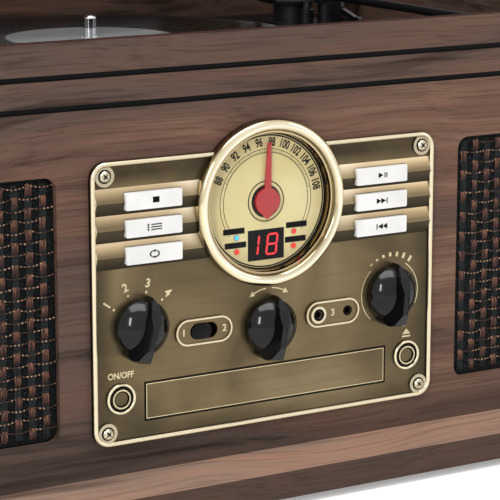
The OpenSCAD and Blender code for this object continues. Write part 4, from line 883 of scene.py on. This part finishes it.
def door_edge_highlight():
    """A painted highlight along the tray door's edge, and a painted shade line for its gap on the panel."""
    low, high = (Vector(c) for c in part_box("tray_door"))
    face = FRONT_Y - low.y
    width, height = high.x - low.x, high.z - low.z
    edge, inset = 0.4 * MM, 0.1 * MM
    p = Piece("door_edge_highlight")
    at = at_front((low.x + high.x) / 2, (low.z + high.z) / 2)
    start, end = face - 0.1 * MM, face + 0.12 * MM
    for side in (-1, 1):
        bar(p, 0, width - inset, edge, at, start, end, side * (height - edge - inset) / 2)
    for side in (-1, 1):
        bar(p, side * (width - edge - inset) / 2, edge, height - 2.2 * edge, at, start, end)
    p.done("tray", "panel_brass", RELIEF_AND_HIGHLIGHT)
    # Painted shade: a dark line where the door's gap is in shade
    line = Piece("door_gap_shade")
    line_w, clear_of = 0.4 * MM, 1.3 * MM
    start, end = PANEL_FIELD - 0.1 * MM, PANEL_FIELD + 0.05 * MM
    for side in (-1, 1):
        bar(line, 0, width + clear_of + 2 * line_w, line_w, at, start, end,
            side * (height + clear_of + line_w) / 2)
        bar(line, side * (width + clear_of + line_w) / 2, line_w, height + clear_of, at, start, end)
    line.done("cabinet", "panel_brass", PAINTED_SHADE)


SCREW_HEAD = 2.75 * MM
SCREW_BOSS = 1.0 * MM
BUTTON_GAP = (5.75 * MM, 6.38 * MM)
SOCKET_DX = 9.2 * MM
# Near black, put where shade falls as painted shade
PAINTED_SHADE = plastic("old_dirt", srgb(14, 11, 8), 0.7, gloss=0.1)


def paint_gap_shade_and_rim_highlights():
    """Painted shade round the screws' heads and in their crosses, round the buttons and the sockets, and
    painted highlights on the buttons' rims."""
    p = Piece("panel_dirt")
    boss = PANEL_FIELD + SCREW_BOSS
    low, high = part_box("panel_screws")
    for x in (low[0] + SCREW_HEAD, high[0] - SCREW_HEAD):
        for z in (low[2] + SCREW_HEAD, high[2] - SCREW_HEAD):
            at = at_front(x, z)
            p.arc(SCREW_HEAD + 0.03 * MM, SCREW_HEAD + 0.75 * MM, 0, 360, boss, boss + 0.06 * MM, at, 32)
            for turn in (45, 135):
                cross = at @ Matrix.Rotation(math.radians(turn), 4, "Z")
                p.prism(box_outline(2.7 * MM, 0.8 * MM), boss + 0.75 * MM, boss + 0.85 * MM, cross)
    for joint in ("power_press", "open_press"):
        at = at_front(JOINT[joint].x, JOINT[joint].z)
        p.arc(*BUTTON_GAP, 0, 360, PANEL_FIELD, PANEL_FIELD + 0.1 * MM, at, 48)
    plate_x, plate_z = -JOINT["slide_move"].x, JOINT["slide_move"].z
    for side, outer, height in ((-1, 3.2 * MM, 2.4 * MM), (1, 2.7 * MM, 0.8 * MM)):
        at = at_front(plate_x + side * SOCKET_DX, plate_z)
        p.arc(1.83 * MM, outer, 0, 360, PANEL_FIELD + height, PANEL_FIELD + height + 0.06 * MM, at, 32)
    p.done("cabinet", "panel_brass", PAINTED_SHADE)
    for body, joint in (("power_button", "power_press"), ("open_button", "open_press")):
        at = at_front(JOINT[joint].x, JOINT[joint].z)
        p = Piece(body + "_dirt")
        # Painted shade on the button's flank and in its dish
        p.arc(4.95 * MM, 5.68 * MM, 0, 360, 2.5 * MM, 2.66 * MM, at, 48)
        p.arc(3.5 * MM, 4.2 * MM, 0, 360, 1.95 * MM, 2.3 * MM, at, 48)
        p.done(body, "panel_brass", PAINTED_SHADE)
        # Painted highlight: a bright ring on the button's rim
        p = Piece(body + "_rim")
        p.arc(4.2 * MM, 4.95 * MM, 0, 360, 2.1 * MM, 2.75 * MM, at, 48)
        p.done(body, "panel_brass", RELIEF_AND_HIGHLIGHT)


# ---- Speaker cloths ----

COLUMN = 7.4 * MM
ROW = 10.9 * MM
FLOAT_LENGTH = 5.8 * MM
FLOAT_WIDTH = 3.6 * MM
THREADS = 4
CLOTH_PROUD = 0.35 * MM
CLOTH_CORNER = 6.0 * MM
CLOTH_WIDTH = 85.6 * MM


def jitter(i, j, salt):
    """A repeatable number between -1 and 1 for one place in the weave."""
    value = math.sin(12.9898 * i + 78.233 * j + 37.719 * salt) * 43758.5453
    return 2 * (value - math.floor(value)) - 1


def speaker_cloth(side, low, high):
    """A flat stretched sheet. Copper and black floats take turns in each column, half a row apart."""
    width, height = high.x - low.x, high.z - low.z
    cut = 0.5 * MM
    face = FRONT_Y - low.y
    where = at_front((low.x + high.x) / 2, (low.z + high.z) / 2)
    half_w = width / 2 - cut - CLOTH_CORNER
    half_h = height / 2 - cut - CLOTH_CORNER
    outline = []
    for cx, cy, start in ((1, 1, 0), (1, -1, 90), (-1, -1, 180), (-1, 1, 270)):
        for k in range(7):
            a = math.radians(start + 15 * k)
            outline.append((cx * half_w + CLOTH_CORNER * math.sin(a),
                            cy * half_h + CLOTH_CORNER * math.cos(a)))
    sheet = Piece(f"speaker_cloth_{side}")
    sheet.prism(outline, face, face + CLOTH_PROUD, where)
    cloth = sheet.done("cabinet", "speaker_cloth", CLOTH)

    copper = Piece(f"copper_floats_{side}")
    black = Piece(f"black_floats_{side}")
    cords = Piece(f"cross_cords_{side}")
    columns = int((width - 6 * MM) / COLUMN)
    rows = 2 * int((height - 8 * MM) / ROW)
    for i in range(columns + 1):
        x = (i - columns / 2) * COLUMN
        for j in range(rows + 1):
            y = (j - rows / 2) * ROW / 2
            place_x, place_y = x + 0.25 * MM * jitter(i, j, 1), y + 0.35 * MM * jitter(i, j, 2)
            yarn = copper if (i + j) % 2 else black
            weave_float(yarn, place_x, place_y, face + CLOTH_PROUD, where, (i, j))
            if yarn is copper and i < columns:
                cross_cord(cords, place_x, y + FLOAT_LENGTH * 0.36, face + CLOTH_PROUD, where, (i, j))
    made = [copper.done("cabinet", "speaker_cloth", COPPER, smooth=True),
            black.done("cabinet", "speaker_cloth", BLACK_YARN, smooth=True),
            cords.done("cabinet", "speaker_cloth", CORD, smooth=True)]


def weave_float(p, x, y, face, where, key):
    """Threads side by side that rise out of the cloth and go back into it."""
    pitch = FLOAT_WIDTH / THREADS
    along, across = 5, 3
    for t in range(THREADS):
        middle_x = x + (t - (THREADS - 1) / 2) * pitch
        lean = 0.3 * MM * jitter(key[0], key[1], 3 + t)
        grid = []
        for k in range(along + 1):
            u = k / along
            rise = 0.85 * MM * math.sin(math.pi * (0.06 + 0.88 * u))
            row = []
            for c in range(across + 1):
                v = c / across
                round_off = math.sin(math.pi * v) * pitch * 0.5
                row.append(p.bm.verts.new(where @ Vector((
                    middle_x + (v - 0.5) * pitch, y + lean + (u - 0.5) * FLOAT_LENGTH,
                    face - 0.3 * MM + rise + round_off))))
            grid.append(row)
        for k in range(along):
            for c in range(across):
                p.bm.faces.new((grid[k][c], grid[k][c + 1], grid[k + 1][c + 1], grid[k + 1][c]))


def cross_cord(p, x, y, face, where, key):
    """A thin cord that runs from one float's shoulder across the next column, sagging a little."""
    steps, sides, radius = 10, 6, 0.42 * MM
    sag = (0.9 + 0.5 * jitter(key[0], key[1], 9)) * MM
    rings = []
    for k in range(steps + 1):
        u = k / steps
        centre_x = x + FLOAT_WIDTH * 0.3 + u * (2 * COLUMN - FLOAT_WIDTH * 0.6)
        centre_y = y - sag * math.sin(math.pi * u)
        centre_z = face + 0.5 * MM + 0.45 * MM * math.sin(math.pi * u)
        rings.append([p.bm.verts.new(where @ Vector((
            centre_x, centre_y + radius * math.cos(math.tau * e / sides),
            centre_z + radius * math.sin(math.tau * e / sides)))) for e in range(sides)])
    for here, there in zip(rings, rings[1:]):
        for e in range(sides):
            f = (e + 1) % sides
            p.bm.faces.new((here[e], here[f], there[f], there[e]))


CLOTH = cloth_black("cloth_weave")
COPPER = copper_thread("copper_thread")
BLACK_YARN = thread("black_yarn", srgb(6, 7, 8), srgb(36, 42, 43))
CORD = beaded_thread("beaded_cord")


def speaker_cloths():
    low, high = (Vector(c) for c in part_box("speaker_cloths"))
    speaker_cloth("left", low, Vector((low.x + CLOTH_WIDTH, high.y, high.z)))
    speaker_cloth("right", Vector((high.x - CLOTH_WIDTH, low.y, low.z)), high)


# ---- Back ----

def rear_screws():
    """Black cross-head screws in the rear panel's holes."""
    low, high = (Vector(c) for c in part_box("rear_panel"))
    inset = 5 * MM
    p = Piece("rear_screws")
    turn = Matrix(((-1, 0, 0), (0, 0, 1), (0, 1, 0))).to_4x4()
    for x in (low.x + inset, (low.x + high.x) / 2, high.x - inset):
        for z in (low.z + inset, high.z - inset):
            where = Matrix.Translation((x, high.y, z)) @ turn
            p.arc(0.9 * MM, 3.0 * MM, 0, 360, 0, 1.1 * MM, where, 32)
            for a in (45, 135):
                at = where @ Matrix.Rotation(math.radians(a), 4, "Z")
                p.prism(box_outline(2.2 * MM, 0.45 * MM), 0, 0.9 * MM, at)
    p.done("cabinet", "black_plastic", metal("screw_black", srgb(60, 60, 62), 0.35))


# ---- Stage, lights and camera ----

AMBIENT = 0.42


def stage():
    """A white floor that keeps the object's shadow, and a white world."""
    shape = bpy.data.meshes.new("floor")
    reach = 6.0
    shape.from_pydata([(-reach, -reach, 0), (reach, -reach, 0), (reach, reach, 0), (-reach, reach, 0)],
                      [], [(0, 1, 2, 3)])
    floor = bpy.data.objects.new("floor", shape)
    floor.location.z = FLOOR_Z
    bpy.context.collection.objects.link(floor)
    m = Material("floor_white", Roughness=0.8)
    m.set("Base Color", srgb(236, 235, 233))
    m.set("Specular IOR Level", 0.2)
    path = m.tree.nodes.new("ShaderNodeLightPath")
    seen = m.math("MAXIMUM", path.outputs["Is Camera Ray"],
                  m.math("MAXIMUM", path.outputs["Is Glossy Ray"], path.outputs["Is Transmission Ray"]))
    m.set("Emission Color", (1, 1, 1, 1))
    m.set("Emission Strength", m.math("MULTIPLY", seen, 0.32))
    shape.materials.append(m.data)

    world = bpy.data.worlds.new("studio")
    bpy.context.scene.world = world
    world.use_nodes = True
    tree = world.node_tree
    back = tree.nodes["Background"]
    path = tree.nodes.new("ShaderNodeLightPath")
    level = tree.nodes.new("ShaderNodeMapRange")
    level.inputs["To Min"].default_value = AMBIENT
    level.inputs["To Max"].default_value = 1.0
    rays = path.outputs["Is Camera Ray"]
    for kind in ("Is Glossy Ray", "Is Transmission Ray"):
        either = tree.nodes.new("ShaderNodeMath")
        either.operation = "MAXIMUM"
        tree.links.new(rays, either.inputs[0])
        tree.links.new(path.outputs[kind], either.inputs[1])
        rays = either.outputs[0]
    tree.links.new(rays, level.inputs["Value"])
    tree.links.new(level.outputs[0], back.inputs["Strength"])
    back.inputs["Color"].default_value = (1, 1, 1, 1)


def lamp(name, place, target, size, watts):
    data = bpy.data.lights.new(name, "AREA")
    data.shape = "RECTANGLE"
    data.size, data.size_y = size
    data.energy = watts
    made = bpy.data.objects.new(name, data)
    made.location = place
    made.rotation_euler = (Vector(target) - Vector(place)).to_track_quat("-Z", "Y").to_euler()
    bpy.context.collection.objects.link(made)


def lights():
    heart = (0, FRONT_Y, 0.12)
    lamp("key_left", (-1.5, -1.4, 1.0), heart, (0.16, 0.9), 14)
    lamp("fill_right", (1.4, -1.3, 0.7), heart, (0.14, 0.9), 3)
    lamp("top", (-0.1, -0.55, 1.9), heart, (1.6, 0.9), 24)


CAMERA_PLACE = (-0.5655, -1.117, 0.367)
CAMERA_YAW = 30.34
CAMERA_PITCH = 12.11
FOCAL_PIXELS = 2235
FRAME_PIXELS = 500
SENSOR = 36.0


def camera():
    data = bpy.data.cameras.new("camera")
    data.sensor_width = SENSOR
    data.lens = SENSOR * FOCAL_PIXELS / FRAME_PIXELS
    data.clip_start = 0.05
    data.clip_end = 50
    made = bpy.data.objects.new("camera", data)
    made.location = CAMERA_PLACE
    made.rotation_euler = (math.radians(90 - CAMERA_PITCH), 0, -math.radians(CAMERA_YAW))
    bpy.context.collection.objects.link(made)
    bpy.context.scene.camera = made


camera()
dress_nodes()
dial_print()
hub_hollow_shade()
display_figures()
lamps()
key_signs()
panel_relief()
plate_signs()
door_edge_highlight()
paint_gap_shade_and_rim_highlights()
speaker_cloths()
rear_screws()
stage()
lights()
bpy.context.scene.view_settings.view_transform = "Standard"
